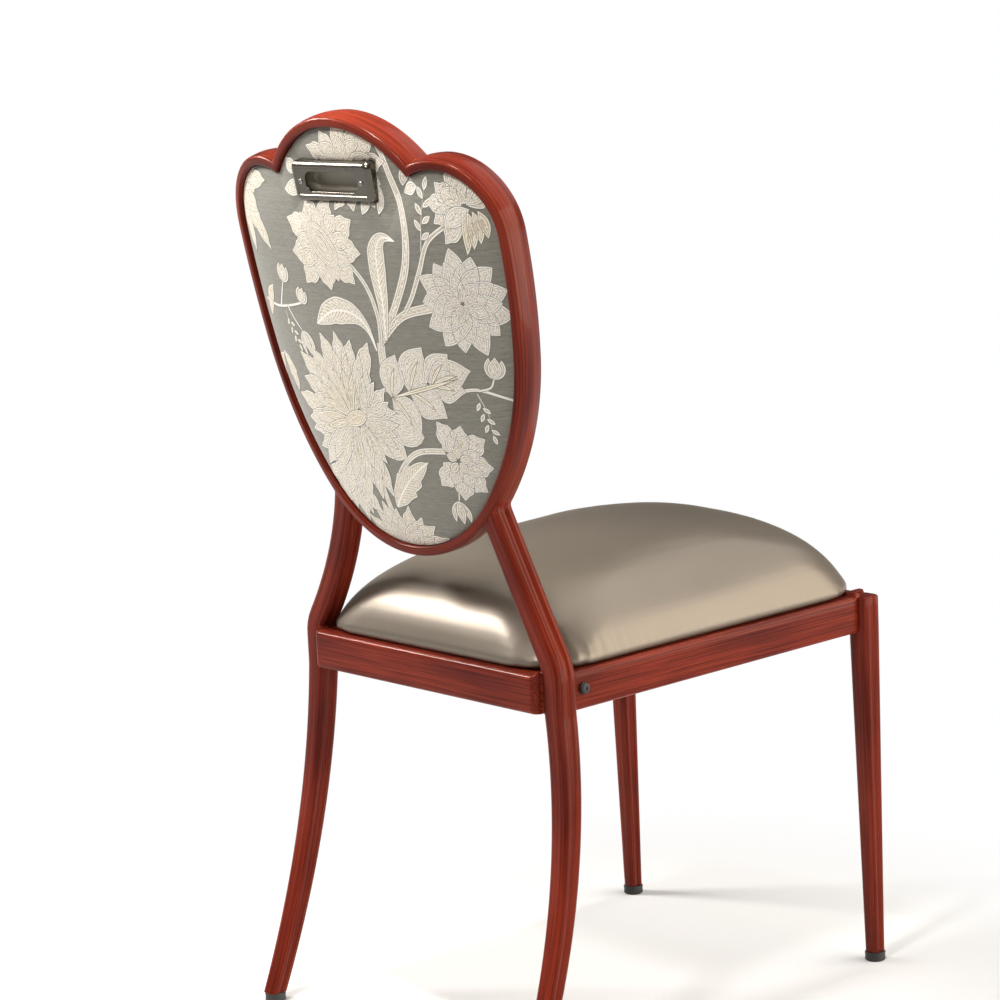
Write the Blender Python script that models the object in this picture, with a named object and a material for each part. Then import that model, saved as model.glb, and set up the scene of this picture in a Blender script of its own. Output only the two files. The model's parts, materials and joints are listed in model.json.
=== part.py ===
"""Upholstered metal dining chair with a trefoil hoop back, modelled piece by piece in metres.

The chair faces -Y, +Z is up and the floor is z = 0. Left (+X) and right (-X) are the sitter's.
The back is described in its own frame: u across, v up the slope of the back, n forward through it.
"""

from math import acos, atan2, cos, hypot, pi, radians, sin, tan

import bmesh
import bpy
from mathutils import Matrix, Vector

# Clearance between pieces that touch
GAP = 0.0003

# Seat frame
RAIL_TOP = 0.410
RAIL_HEIGHT = 0.040
RAIL_THICKNESS = 0.022
RAIL_EDGE_RADIUS = 0.004
REAR_FACE_Y = 0.2001
REAR_LEG_SPACING = 0.382
FRONT_LEG_SPACING = 0.388
REAR_LEG_SETBACK = 0.0225
LEG_TO_LEG_DEPTH = 0.4485
SEAT_RAKE = radians(0.7)
SIDE_RAIL_INSET = 0.006
FRONT_RAIL_INSET = 0.003

# Leg tube: the section at the seat frame, and how it thins towards the floor
TUBE_WIDTH = 0.026
TUBE_DEPTH = 0.028
TUBE_RADIUS = 0.0075
FLUTE_DEPTH = 0.0022
REAR_FOOT_SCALE = 0.78
FRONT_FOOT_SCALE = 0.64
REAR_FOOT_SWEEP = 0.078
REAR_FOOT_SPLAY = 0.019
FRONT_FOOT_SPLAY = 0.004
LEG_RINGS = 9

# Posts from the seat frame up to the hoop
POST_HEIGHT = 0.165
POST_TOP_SPACING = 0.228
POST_TOP_SETBACK = 0.012
POST_BOW = 0.007
POST_LEAN = 0.005
POST_INTO_HOOP = 0.024
POST_RINGS = 9

# Back: slope, curve across and the trefoil outline of the hoop's inner edge
BACK_DATUM_HEIGHT = 0.200
BACK_DATUM_SETBACK = -0.019
BACK_TILT = radians(11.0)
BACK_CURVE_RADIUS = 0.922
BACK_TOP = 0.3555
BACK_HALF_WIDTH = 0.2035
SIDE_RADIUS = 0.720
SIDE_TURN = radians(10.0)
HAUNCH_RADIUS = 0.310
HAUNCH_TURN = radians(41.6)
LOBE_RADIUS = 0.070
LOBE_TOP = 0.3115
CUSP_SPACING = 0.208
PANEL_CENTRE = 0.130

# Hoop tube
HOOP_DEPTH = 0.036
HOOP_RIM = 0.0050
HOOP_EDGE = 0.0085
HOOP_BULGE = 0.0035
HOOP_STEPS = 8

# Back upholstery, as depths forward of the hoop's rear face
REAR_PAD_EDGE = 0.0040
REAR_PAD_CROWN = 0.0060
BACK_BOARD_REAR = 0.0125
BACK_BOARD_THICKNESS = 0.008
FRONT_PAD_EDGE = 0.0320
FRONT_PAD_CROWN = 0.0160
PAD_CROWN_POWER = 4
PAD_CLEARANCE = 0.0008
PAD_RINGS = (0.04, 0.20, 0.40, 0.60, 0.80, 0.93, 1.0)
PAD_FINENESS = 0.6

# Pull handle set in the top of the back
HANDLE_BELOW_CROWN = 0.0335
HANDLE_LENGTH = 0.124
HANDLE_WIDTH = 0.042
HANDLE_PROUD = 0.0065
HANDLE_SEAT_DEPTH = 0.0115
HANDLE_ROUND = 0.0085
HANDLE_CORNER = 0.008
HANDLE_FACE_CORNER = 0.002
FINGER_LENGTH = 0.083
FINGER_WIDTH = 0.0205
FINGER_FLOOR = 0.0025
HANDLE_SCREW_INSET = 0.014
HANDLE_SCREW_RADIUS = 0.0024
HANDLE_SCREW_HEAD = 0.0012

# Seat upholstery
SEAT_OVERHANG_SIDE = 0.004
SEAT_REAR_REVEAL = 0.006
SEAT_FRONT_OVERHANG = 0.0084
SEAT_CORNER_RADIUS = 0.062
SEAT_CORNER_GROWTH = 0.75
SEAT_CROWN = 0.0915
SEAT_DRAW_IN = 0.003
SEAT_DOME_REACH = 0.150
SEAT_DOME_POWER = 3.8
SEAT_DOME_ROUND = 1.3
SEAT_DOME_STEPS = 10
SEAT_DOME_SPREAD = 1.8
SEAT_FRONT_FULLER = 0.17
SEAT_POST_CLEARANCE = 0.0010
SEAT_BOARD_THICKNESS = 0.012
SEAT_BOARD_MARGIN = 0.016
SEAT_BOARD_CORNER = 0.045
DUST_COVER_THICKNESS = 0.001
DUST_COVER_MARGIN = 0.002

# Corner gussets and the screws that hold the seat down
GUSSET_LEG = 0.060
GUSSET_THICKNESS = 0.004
SCREW_FROM_CORNER = 0.021
SEAT_SCREW_RADIUS = 0.0025
SEAT_SCREW_LENGTH = 0.013
SEAT_SCREW_HEAD_RADIUS = 0.0055
SEAT_SCREW_HEAD_HEIGHT = 0.0030
SEAT_SCREW_HEAD_CHAMFER = 0.0015

# Rubber pieces
GLIDE_RADIUS = 0.0115
GLIDE_HEIGHT = 0.010
GLIDE_CHAMFER = 0.0012
GLIDE_STEM_RADIUS = 0.005
GLIDE_STEM_LENGTH = 0.020
BUMPER_RADIUS = 0.006
BUMPER_HEIGHT = 0.005
BUMPER_CHAMFER = 0.0015
BUMPER_FROM_LEG = 0.012
BUMPER_DROP = 0.018

ROUND_SIDES = 16
SIDES = {"left": 1, "right": -1}

# Places that follow from the sizes above
RAIL_BOTTOM = RAIL_TOP - RAIL_HEIGHT
REAR_LEG_X = REAR_LEG_SPACING / 2
FRONT_LEG_X = FRONT_LEG_SPACING / 2
REAR_LEG_Y = REAR_FACE_Y - REAR_LEG_SETBACK
FRONT_LEG_Y = REAR_LEG_Y - LEG_TO_LEG_DEPTH
SIDE_RAIL_OUTER_X = REAR_LEG_X + TUBE_WIDTH / 2 - SIDE_RAIL_INSET
SIDE_RAIL_INNER_X = SIDE_RAIL_OUTER_X - RAIL_THICKNESS
REAR_RAIL_INNER_Y = REAR_FACE_Y - RAIL_THICKNESS
FRONT_FACE_Y = FRONT_LEG_Y - TUBE_DEPTH / 2 + FRONT_RAIL_INSET
FRONT_RAIL_INNER_Y = FRONT_FACE_Y + RAIL_THICKNESS
FOOT_Z = GLIDE_HEIGHT + GAP
RAKE_START_Y = REAR_LEG_Y - TUBE_DEPTH / 2
FRONT_LEG_RISE = (RAKE_START_Y - FRONT_LEG_Y - TUBE_DEPTH / 2) * tan(SEAT_RAKE)
POST_INWARD = (REAR_LEG_SPACING - POST_TOP_SPACING) / 2
POST_BACKWARD = REAR_LEG_SETBACK - POST_TOP_SETBACK
POST_FOOT_LEAN = atan2(POST_INWARD + 4 * POST_BOW, POST_HEIGHT)
KNEE_Z = RAIL_TOP + TUBE_WIDTH / 2 * tan(POST_FOOT_LEAN / 2) + GAP
BACK_ORIGIN = Vector((0.0, REAR_FACE_Y - BACK_DATUM_SETBACK, RAIL_TOP + BACK_DATUM_HEIGHT))
BACK_UP = Vector((0.0, sin(BACK_TILT), cos(BACK_TILT)))
BACK_FORWARD = Vector((0.0, -cos(BACK_TILT), sin(BACK_TILT)))
HANDLE_UP_BACK = BACK_TOP - HANDLE_BELOW_CROWN - HANDLE_WIDTH / 2
HANDLE_SCREW_X = HANDLE_LENGTH / 2 - HANDLE_SCREW_INSET


def clear_scene():
    for obj in list(bpy.data.objects):
        bpy.data.objects.remove(obj, do_unlink=True)


def material(name, colour, roughness, metallic=0.0):
    made = bpy.data.materials.new(name)
    made.use_nodes = True
    made.diffuse_color = (*colour, 1.0)
    shader = made.node_tree.nodes["Principled BSDF"]
    shader.inputs["Base Color"].default_value = (*colour, 1.0)
    shader.inputs["Roughness"].default_value = roughness
    shader.inputs["Metallic"].default_value = metallic
    return made


def add_object(name, bm, finish, parent, smooth_angle=radians(35)):
    """Close a bmesh into a named object with outward faces and smooth round surfaces."""
    bmesh.ops.recalc_face_normals(bm, faces=bm.faces[:])
    mesh = bpy.data.meshes.new(name)
    bm.to_mesh(mesh)
    bm.free()
    mesh.shade_smooth()
    mesh.set_sharp_from_angle(angle=smooth_angle)
    mesh.materials.append(finish)
    obj = bpy.data.objects.new(name, mesh)
    bpy.context.scene.collection.objects.link(obj)
    obj.parent = parent
    return obj


def rake(seat_frame):
    """Lift everything on the seat frame towards the front, with its upright faces kept upright."""
    lift = tan(SEAT_RAKE)
    shear = Matrix(((1, 0, 0, 0), (0, 1, 0, 0), (0, -lift, 1, RAKE_START_Y * lift), (0, 0, 0, 1)))
    for obj in seat_frame.children:
        obj.matrix_parent_inverse = shear


def cut(obj, tool):
    """Take a helper solid out of an object, and keep the helper out of the model."""
    tool.hide_render = True
    tool.display_type = "WIRE"
    modifier = obj.modifiers.new("cut_" + tool.name, "BOOLEAN")
    modifier.operation = "DIFFERENCE"
    modifier.solver = "EXACT"
    modifier.object = tool


def loft(rings, closed=False):
    """Skin a run of rings with equal point counts: a capped bar, or a closed loop."""
    bm = bmesh.new()
    loops = []
    for ring in rings:
        verts = [bm.verts.new(point) for point in ring]
        loops.append([bm.edges.new((a, b)) for a, b in zip(verts, verts[1:] + verts[:1])])
    pairs = list(zip(loops, loops[1:]))
    if closed:
        pairs.append((loops[-1], loops[0]))
    else:
        bmesh.ops.contextual_create(bm, geom=loops[0])
        bmesh.ops.contextual_create(bm, geom=loops[-1])
    for first, second in pairs:
        bmesh.ops.bridge_loops(bm, edges=first + second)
    return bm


def arc(centre, radius, start, end, count):
    """Points along an arc, ends included, as (x, y, outward x, outward y)."""
    points = []
    for i in range(count + 1):
        angle = start + (end - start) * i / count
        across, up = cos(angle), sin(angle)
        points.append((centre[0] + radius * across, centre[1] + radius * up, across, up))
    return points


def rounded_rectangle(width, depth, radius, steps=3):
    """Corner arcs of a rectangle about the origin, anticlockwise."""
    x, y = width / 2 - radius, depth / 2 - radius
    corners = [(x, y, 0.0), (-x, y, pi / 2), (-x, -y, pi), (x, -y, 3 * pi / 2)]
    outline = []
    for cx, cy, start in corners:
        outline += [p[:2] for p in arc((cx, cy), radius, start, start + pi / 2, steps)]
    return outline


def tube_section(scale=1.0, grow=0.0):
    """The leg tube: a rounded rectangle with a flute down its outer and inner faces."""
    width = TUBE_WIDTH * scale + 2 * grow
    depth = TUBE_DEPTH * scale + 2 * grow
    corners = rounded_rectangle(width, depth, TUBE_RADIUS * scale + grow)
    flute = width / 2 - FLUTE_DEPTH * scale
    return [(flute, 0.0)] + corners[:8] + [(-flute, 0.0)] + corners[8:]


def place_section(section, centre, normal):
    """A section set at a point of a path, square to it, with its first axis kept across the chair."""
    normal = normal.normalized()
    across = Vector((1.0, 0.0, 0.0))
    across = (across - normal * across.dot(normal)).normalized()
    along = normal.cross(across)
    return [centre + across * x + along * y for x, y in section]


def mirror_ring(ring, side):
    return [Vector((point.x * side, point.y, point.z)) for point in ring]


def bar(width, depth, height, radius):
    """An upright bar with rounded edges standing on the origin."""
    outline = rounded_rectangle(width, depth, radius)
    return loft([[Vector((x, y, z)) for x, y in outline] for z in (0.0, height)])


def turned(profile):
    """A solid turned about the Z axis from (radius, height) points that start and end on it."""
    bm = bmesh.new()
    verts = [bm.verts.new((radius, 0.0, height)) for radius, height in profile]
    edges = [bm.edges.new(pair) for pair in zip(verts, verts[1:])]
    bmesh.ops.spin(bm, geom=verts + edges, axis=(0, 0, 1), cent=(0, 0, 0), angle=2 * pi,
                   steps=ROUND_SIDES, use_merge=True)
    bmesh.ops.remove_doubles(bm, verts=bm.verts[:], dist=GAP / 10)
    return bm


def back_point(u, v, n):
    """A point of the back: u across, v up its slope and n forward from the hoop's rear face."""
    bow = u * u / (2 * BACK_CURVE_RADIUS)
    turn = u / BACK_CURVE_RADIUS
    length = hypot(1.0, turn)
    forward = bow + n / length
    across = Vector((u - n * turn / length, 0.0, 0.0))
    return BACK_ORIGIN + across + BACK_UP * v + BACK_FORWARD * forward


def trefoil(fineness=1.0):
    """The hoop's inner outline as (u, v, outward u, outward v), anticlockwise from the bottom."""
    def count(steps):
        return max(1, round(steps * fineness))

    lobe_centre = (BACK_HALF_WIDTH - LOBE_RADIUS, LOBE_TOP - LOBE_RADIUS)
    side_centre = (BACK_HALF_WIDTH - SIDE_RADIUS, lobe_centre[1])
    step = SIDE_RADIUS - HAUNCH_RADIUS
    haunch_centre = (side_centre[0] + step * cos(SIDE_TURN), side_centre[1] - step * sin(SIDE_TURN))
    # The bottom arc takes the radius that puts its centre on the middle line.
    step = -haunch_centre[0] / cos(HAUNCH_TURN)
    bottom_radius = HAUNCH_RADIUS - step
    bottom_centre = (0.0, haunch_centre[1] - step * sin(HAUNCH_TURN))
    cusp_u = CUSP_SPACING / 2
    cusp_turn = acos((cusp_u - lobe_centre[0]) / LOBE_RADIUS)
    cusp_v = lobe_centre[1] + LOBE_RADIUS * sin(cusp_turn)
    drop = BACK_TOP - cusp_v
    crown_radius = (cusp_u ** 2 + drop ** 2) / (2 * drop)
    crown_centre = (0.0, BACK_TOP - crown_radius)
    crown_turn = atan2(cusp_v - crown_centre[1], cusp_u)

    half = arc(bottom_centre, bottom_radius, -pi / 2, -HAUNCH_TURN, count(9))
    half += arc(haunch_centre, HAUNCH_RADIUS, -HAUNCH_TURN, -SIDE_TURN, count(8))[1:]
    half += arc(side_centre, SIDE_RADIUS, -SIDE_TURN, 0.0, count(5))[1:]
    half += arc(lobe_centre, LOBE_RADIUS, 0.0, cusp_turn, count(11))[1:-1]
    # The cusp is one mitred ring between the two arcs that meet there.
    lobe_out = Vector((cos(cusp_turn), sin(cusp_turn)))
    crown_out = Vector((cos(crown_turn), sin(crown_turn)))
    mitre = (lobe_out + crown_out).normalized()
    mitre /= mitre.dot(lobe_out)
    half.append((cusp_u, cusp_v, mitre.x, mitre.y))
    half += arc(crown_centre, crown_radius, crown_turn, pi / 2, count(8))[1:]
    return half + [(-u, v, -out_u, out_v) for u, v, out_u, out_v in half[-2:0:-1]]


def hoop_outside():
    """The outer side of the hoop tube from rear to front, as (outward, forward): domed, with round rims."""
    middle = HOOP_DEPTH / 2
    outside = [(HOOP_RIM, 0.0)]
    for i in range(1, HOOP_STEPS):
        angle = pi * i / HOOP_STEPS
        outside.append((HOOP_EDGE + HOOP_BULGE * sin(angle), middle - middle * cos(angle)))
    return outside + [(HOOP_RIM, HOOP_DEPTH)]


def make_hoop(finish, parent):
    section = [(0.0, HOOP_DEPTH), (0.0, 0.0)] + hoop_outside()
    rings = []
    for u, v, out_u, out_v in trefoil():
        rings.append([back_point(u + out_u * w, v + out_v * w, n) for w, n in section])
    return add_object("back_hoop", loft(rings, closed=True), finish, parent)


def back_slab(outline, rear_depth, front_depth, inset):
    """A bowed slab inside the hoop, in rings that shrink to its centre, with its own two faces."""
    def ring(scale, edge_inset, n):
        points = []
        for u, v, out_u, out_v in outline:
            u, v = u - out_u * edge_inset, v - out_v * edge_inset
            v = PANEL_CENTRE + (v - PANEL_CENTRE) * scale
            points.append(back_point(u * scale, v, n))
        return points

    rings = [ring(scale, inset, rear_depth(scale)) for scale in PAD_RINGS]
    rings += [ring(scale, inset, front_depth(scale)) for scale in reversed(PAD_RINGS)]
    return loft(rings)


def hoop_cutter(parent, finish):
    """The whole trefoil with its tube, grown by the clearance, that trims the tops of the posts."""
    outside = [(HOOP_RIM, -HOOP_DEPTH)] + hoop_outside() + [(HOOP_RIM, 2 * HOOP_DEPTH)]
    rings = []
    for outward, n in outside:
        grown = outward + GAP
        rings.append([back_point(u + out_u * grown, v + out_v * grown, n)
                      for u, v, out_u, out_v in trefoil()])
    return add_object("hoop_clearance", loft(rings), finish, parent)


def rear_leg_rings(grow=0.0):
    """Rings of the left rear tube: sabre leg, upright at the seat frame, then the leaning post."""
    rings = []
    up = Vector((0.0, 0.0, 1.0))
    for i in range(LEG_RINGS + 1):
        fall = 1 - i / LEG_RINGS
        z = RAIL_BOTTOM + (FOOT_Z - RAIL_BOTTOM) * fall
        x = REAR_LEG_X + REAR_FOOT_SPLAY * fall * (2 - fall)
        y = REAR_LEG_Y + REAR_FOOT_SWEEP * fall ** 2
        section = tube_section(1 + (REAR_FOOT_SCALE - 1) * fall, grow)
        rings.append(place_section(section, Vector((x, y, z)), up))

    def post(rise):
        x = REAR_LEG_X - POST_INWARD * rise - 4 * POST_BOW * rise * (1 - rise)
        y = REAR_LEG_Y + POST_BACKWARD * rise - 4 * POST_LEAN * rise * (1 - rise)
        return Vector((x, y, KNEE_Z + POST_HEIGHT * rise))

    knee = post(0.0)
    rings.append(place_section(tube_section(1.0, grow), knee, up + (post(0.05) - knee).normalized()))
    last = 1 + POST_INTO_HOOP / POST_HEIGHT
    for i in range(1, POST_RINGS + 1):
        rise = last * i / POST_RINGS
        slope = post(rise + 0.01) - post(rise - 0.01)
        rings.append(place_section(tube_section(1.0, grow), post(rise), slope))
    return rings


def foot_socket(name, x, y, finish, parent):
    """Bore for the stem of a glide in the bottom of a leg."""
    bore = GLIDE_STEM_RADIUS + GAP
    depth = GLIDE_STEM_LENGTH + GAP
    tool = add_object(name, turned([(0, depth), (bore, depth), (bore, -depth), (0, -depth)]),
                      finish, parent)
    tool.location = (x, y, FOOT_Z)
    return tool


def make_rear_leg(side_name, finish, parent, trim):
    side = SIDES[side_name]
    rings = [mirror_ring(ring, side) for ring in rear_leg_rings()]
    leg = add_object("rear_leg_" + side_name, loft(rings), finish, parent)
    cut(leg, trim)
    foot_x = side * (REAR_LEG_X + REAR_FOOT_SPLAY)
    cut(leg, foot_socket("rear_socket_" + side_name, foot_x, REAR_LEG_Y + REAR_FOOT_SWEEP,
                         finish, parent))
    return leg


def make_front_leg(side_name, finish, parent):
    side = SIDES[side_name]
    up = Vector((0.0, 0.0, 1.0))
    rings = []
    for z, scale, splay in ((FOOT_Z, FRONT_FOOT_SCALE, FRONT_FOOT_SPLAY),
                            (RAIL_BOTTOM + FRONT_LEG_RISE, 1.0, 0.0),
                            (RAIL_TOP + FRONT_LEG_RISE, 1.0, 0.0)):
        centre = Vector((FRONT_LEG_X, FRONT_LEG_Y - splay, z))
        rings.append(mirror_ring(place_section(tube_section(scale), centre, up), side))
    leg = add_object("front_leg_" + side_name, loft(rings), finish, parent)
    cut(leg, foot_socket("front_socket_" + side_name, side * FRONT_LEG_X,
                         FRONT_LEG_Y - FRONT_FOOT_SPLAY, finish, parent))
    return leg


def make_rail(name, start, end, finish, parent):
    """A rail laid between two points of its centre line, just below the seat."""
    run = Vector(end) - Vector(start)
    bm = bar(RAIL_THICKNESS, RAIL_HEIGHT, run.length, RAIL_EDGE_RADIUS)
    across = run.normalized().cross(Vector((0, 0, 1)))
    turn = Matrix((across, Vector((0, 0, 1)), run.normalized())).transposed().to_4x4()
    bmesh.ops.transform(bm, matrix=turn, verts=bm.verts[:])
    rail = add_object(name, bm, finish, parent)
    rail.location = start
    return rail


def make_rails(finish, parent):
    z = RAIL_TOP - RAIL_HEIGHT / 2
    rear_end = REAR_LEG_X - TUBE_WIDTH / 2 - GAP
    rear_y = REAR_FACE_Y - RAIL_THICKNESS / 2
    make_rail("rear_rail", (-rear_end, rear_y, z), (rear_end, rear_y, z), finish, parent)
    front_end = FRONT_LEG_X - TUBE_WIDTH / 2 - GAP
    front_y = FRONT_FACE_Y + RAIL_THICKNESS / 2
    make_rail("front_rail", (-front_end, front_y, z), (front_end, front_y, z), finish, parent)
    side_x = SIDE_RAIL_OUTER_X - RAIL_THICKNESS / 2
    start_y = FRONT_LEG_Y + TUBE_DEPTH / 2 + GAP
    end_y = REAR_LEG_Y - TUBE_DEPTH / 2 - GAP
    for side_name, side in SIDES.items():
        make_rail("side_rail_" + side_name, (side * side_x, start_y, z), (side * side_x, end_y, z),
                  finish, parent)


def corner_places():
    """The four inner corners of the seat frame as name, x, y and the way inwards."""
    places = []
    for side_name, side in SIDES.items():
        x = side * (SIDE_RAIL_INNER_X - GAP)
        places.append(("rear_" + side_name, x, REAR_RAIL_INNER_Y - GAP, -side, -1))
        front_y = max(FRONT_RAIL_INNER_Y, FRONT_LEG_Y + TUBE_DEPTH / 2) + GAP
        places.append(("front_" + side_name, x, front_y, -side, 1))
    return places


def seat_screw_tool(name, grow, finish, parent):
    """A seat screw: shank up through a gusset into the seat board, pan head below."""
    shank, head = SEAT_SCREW_RADIUS + grow, SEAT_SCREW_HEAD_RADIUS
    profile = [(0, SEAT_SCREW_LENGTH + grow), (shank, SEAT_SCREW_LENGTH + grow), (shank, -GAP)]
    if grow:
        profile += [(shank, -SEAT_SCREW_LENGTH), (0, -SEAT_SCREW_LENGTH)]
    else:
        low = -GAP - SEAT_SCREW_HEAD_HEIGHT
        chamfer = SEAT_SCREW_HEAD_CHAMFER
        profile += [(head, -GAP), (head, low + chamfer), (head - chamfer, low), (0, low)]
    return add_object(name, turned(profile), finish, parent)


def make_corners(board, frame_finish, screw_finish, parent, clearances):
    low = RAIL_TOP - GUSSET_THICKNESS
    for name, x, y, way_x, way_y in corner_places():
        corner = [(x, y), (x + way_x * GUSSET_LEG, y), (x, y + way_y * GUSSET_LEG)]
        rings = [[Vector((px, py, z)) for px, py in corner] for z in (low, RAIL_TOP)]
        gusset = add_object("corner_gusset_" + name, loft(rings), frame_finish, parent)
        place = (x + way_x * SCREW_FROM_CORNER, y + way_y * SCREW_FROM_CORNER, low)
        hole = seat_screw_tool("screw_hole_" + name, GAP, screw_finish, parent)
        hole.location = place
        cut(gusset, hole)
        cut(board, hole)
        for tool in clearances:
            cut(gusset, tool)
        screw = seat_screw_tool("seat_screw_" + name, 0.0, screw_finish, parent)
        screw.location = place


def seat_outline(inset, radius):
    """The seat's plan outline about the middle of the seat frame."""
    half_width = SIDE_RAIL_OUTER_X - SEAT_OVERHANG_SIDE - inset
    rear = REAR_FACE_Y - SEAT_REAR_REVEAL - inset
    front = FRONT_FACE_Y - SEAT_FRONT_OVERHANG + inset
    middle = (rear + front) / 2
    outline = rounded_rectangle(2 * half_width, rear - front, radius, 6)
    return [(x, y + middle) for x, y in outline]


def make_cushion(finish, parent):
    """The seat: one round dome, drawn in where it meets the rails and fuller towards the front."""
    profile = [(SEAT_DRAW_IN, 0.0)]
    for i in range(1, SEAT_DOME_STEPS + 1):
        across = (i / SEAT_DOME_STEPS) ** SEAT_DOME_SPREAD
        height = SEAT_CROWN * (1 - (1 - across) ** SEAT_DOME_POWER) ** (1 / SEAT_DOME_ROUND)
        profile.append((SEAT_DOME_REACH * across, height))
    rear = REAR_FACE_Y - SEAT_REAR_REVEAL
    length = rear - FRONT_FACE_Y + SEAT_FRONT_OVERHANG
    rings = []
    for inset, height in profile:
        most = SIDE_RAIL_OUTER_X - SEAT_OVERHANG_SIDE - inset - GAP
        radius = min(SEAT_CORNER_RADIUS + SEAT_CORNER_GROWTH * inset, most)
        ring = []
        for x, y in seat_outline(inset, radius):
            fuller = 1 + SEAT_FRONT_FULLER * ((rear - y) / length - 0.5)
            ring.append(Vector((x, y, RAIL_TOP + GAP + height * fuller)))
        rings.append(ring)
    return add_object("seat_cushion", loft(rings), finish, parent, radians(60))


def post_clearances(finish, parent):
    """The two rear tubes grown by a clearance, to notch what is fitted round them."""
    tools = []
    for side_name, side in SIDES.items():
        rings = [mirror_ring(ring, side) for ring in rear_leg_rings(SEAT_POST_CLEARANCE)]
        tools.append(add_object("post_clearance_" + side_name, loft(rings), finish, parent))
    return tools


def make_seat(finishes, parent, clearances):
    cushion = make_cushion(finishes["seat_satin"], parent)

    low, high = RAIL_TOP + GAP, RAIL_TOP + GAP + SEAT_BOARD_THICKNESS
    board_outline = seat_outline(SEAT_BOARD_MARGIN, SEAT_BOARD_CORNER)
    board = add_object("seat_board", loft([[Vector((x, y, z)) for x, y in board_outline]
                                           for z in (low, high)]), finishes["plywood"], parent)
    pocket_outline = seat_outline(SEAT_BOARD_MARGIN - GAP, SEAT_BOARD_CORNER)
    pocket = add_object("board_pocket", loft([[Vector((x, y, z)) for x, y in pocket_outline]
                                              for z in (low - high + RAIL_TOP, high + GAP)]),
                        finishes["plywood"], parent)
    cut(cushion, pocket)
    for tool in clearances:
        cut(cushion, tool)
        cut(board, tool)
    return board


def make_dust_cover(finish, parent):
    """Lining under the seat board, cut off at the corners to clear the gussets."""
    half_width = SIDE_RAIL_INNER_X - DUST_COVER_MARGIN
    rear = REAR_RAIL_INNER_Y - DUST_COVER_MARGIN
    front = max(FRONT_RAIL_INNER_Y, FRONT_LEG_Y + TUBE_DEPTH / 2) + DUST_COVER_MARGIN
    clip = GUSSET_LEG
    outline = [(half_width, front + clip), (half_width, rear - clip), (half_width - clip, rear),
               (clip - half_width, rear), (-half_width, rear - clip), (-half_width, front + clip),
               (clip - half_width, front), (half_width - clip, front)]
    rings = [[Vector((x, y, z)) for x, y in outline]
             for z in (RAIL_TOP - DUST_COVER_THICKNESS, RAIL_TOP)]
    add_object("dust_cover", loft(rings), finish, parent)


def make_back_upholstery(finishes, parent):
    outline = trefoil(PAD_FINENESS)
    board_front = BACK_BOARD_REAR + BACK_BOARD_THICKNESS

    def rear_face(scale):
        return REAR_PAD_EDGE - REAR_PAD_CROWN * (1 - scale ** PAD_CROWN_POWER)

    def front_face(scale):
        return FRONT_PAD_EDGE + FRONT_PAD_CROWN * (1 - scale ** PAD_CROWN_POWER)

    rear_pad = add_object("back_pad_rear", back_slab(
        outline, rear_face, lambda scale: BACK_BOARD_REAR - GAP, PAD_CLEARANCE),
        finishes["floral_jacquard"], parent, radians(60))
    add_object("back_board", back_slab(
        outline, lambda scale: BACK_BOARD_REAR, lambda scale: board_front, PAD_CLEARANCE),
        finishes["plywood"], parent)
    add_object("back_pad_front", back_slab(
        outline, lambda scale: board_front + GAP, front_face, PAD_CLEARANCE),
        finishes["seat_satin"], parent, radians(60))
    return rear_pad


def handle_ring(length, width, corner, n):
    """A ring of the handle, square to the back at its middle line."""
    ring = []
    for across, up in rounded_rectangle(length, width, corner):
        ring.append(BACK_ORIGIN + Vector((across, 0, 0)) + BACK_FORWARD * n
                    + BACK_UP * (HANDLE_UP_BACK + up))
    return ring


def make_handle(rear_pad, finishes, parent):
    """A cast pull: round-edged bezel, finger recess with round ends, and two countersunk screws."""
    finish = finishes["nickel"]
    top = -HANDLE_PROUD
    rings = []
    for turn in (0.0, pi / 6, pi / 3, pi / 2):
        inset = HANDLE_ROUND * (1 - sin(turn))
        corner = HANDLE_FACE_CORNER + (HANDLE_CORNER - HANDLE_FACE_CORNER) * sin(turn)
        rings.append(handle_ring(HANDLE_LENGTH - 2 * inset, HANDLE_WIDTH - 2 * inset, corner,
                                 top * cos(turn)))
    rings.append(handle_ring(HANDLE_LENGTH, HANDLE_WIDTH, HANDLE_CORNER, HANDLE_SEAT_DEPTH))
    plate = add_object("handle_plate", loft(rings), finish, parent)
    recess = FINGER_WIDTH / 2 - GAP
    cut(plate, add_object("finger_recess", loft([
        handle_ring(FINGER_LENGTH, FINGER_WIDTH, recess, 2 * top),
        handle_ring(FINGER_LENGTH, FINGER_WIDTH, recess, HANDLE_SEAT_DEPTH - FINGER_FLOOR)]),
        finish, parent))
    pocket = add_object("handle_pocket", loft([
        handle_ring(HANDLE_LENGTH + 2 * GAP, HANDLE_WIDTH + 2 * GAP, HANDLE_CORNER, n)
        for n in (2 * top, BACK_BOARD_REAR + BACK_BOARD_THICKNESS / 2)]),
        finish, parent)
    cut(rear_pad, pocket)

    turn = Matrix((Vector((1, 0, 0)), BACK_FORWARD.cross(Vector((1, 0, 0))), BACK_FORWARD))
    turn = turn.transposed().to_4x4()
    for side_name, side in SIDES.items():
        place = (BACK_ORIGIN + Vector((side * HANDLE_SCREW_X, 0, 0))
                 + BACK_UP * HANDLE_UP_BACK + BACK_FORWARD * top)
        radius, depth = HANDLE_SCREW_RADIUS, HANDLE_SCREW_HEAD
        shapes = (("handle_screw_" + side_name, 0.0), ("handle_screw_seat_" + side_name, GAP))
        for name, grow in shapes:
            outer = radius + grow
            low = depth * 3 + grow
            profile = [(0, low), (outer / 2, low), (outer / 2, depth), (outer, depth),
                       (outer, -depth if grow else 0.0), (0, -depth if grow else 0.0)]
            screw = add_object(name, turned(profile), finishes["screw_steel"], parent)
            screw.matrix_local = Matrix.Translation(place) @ turn
        cut(plate, screw)


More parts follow.
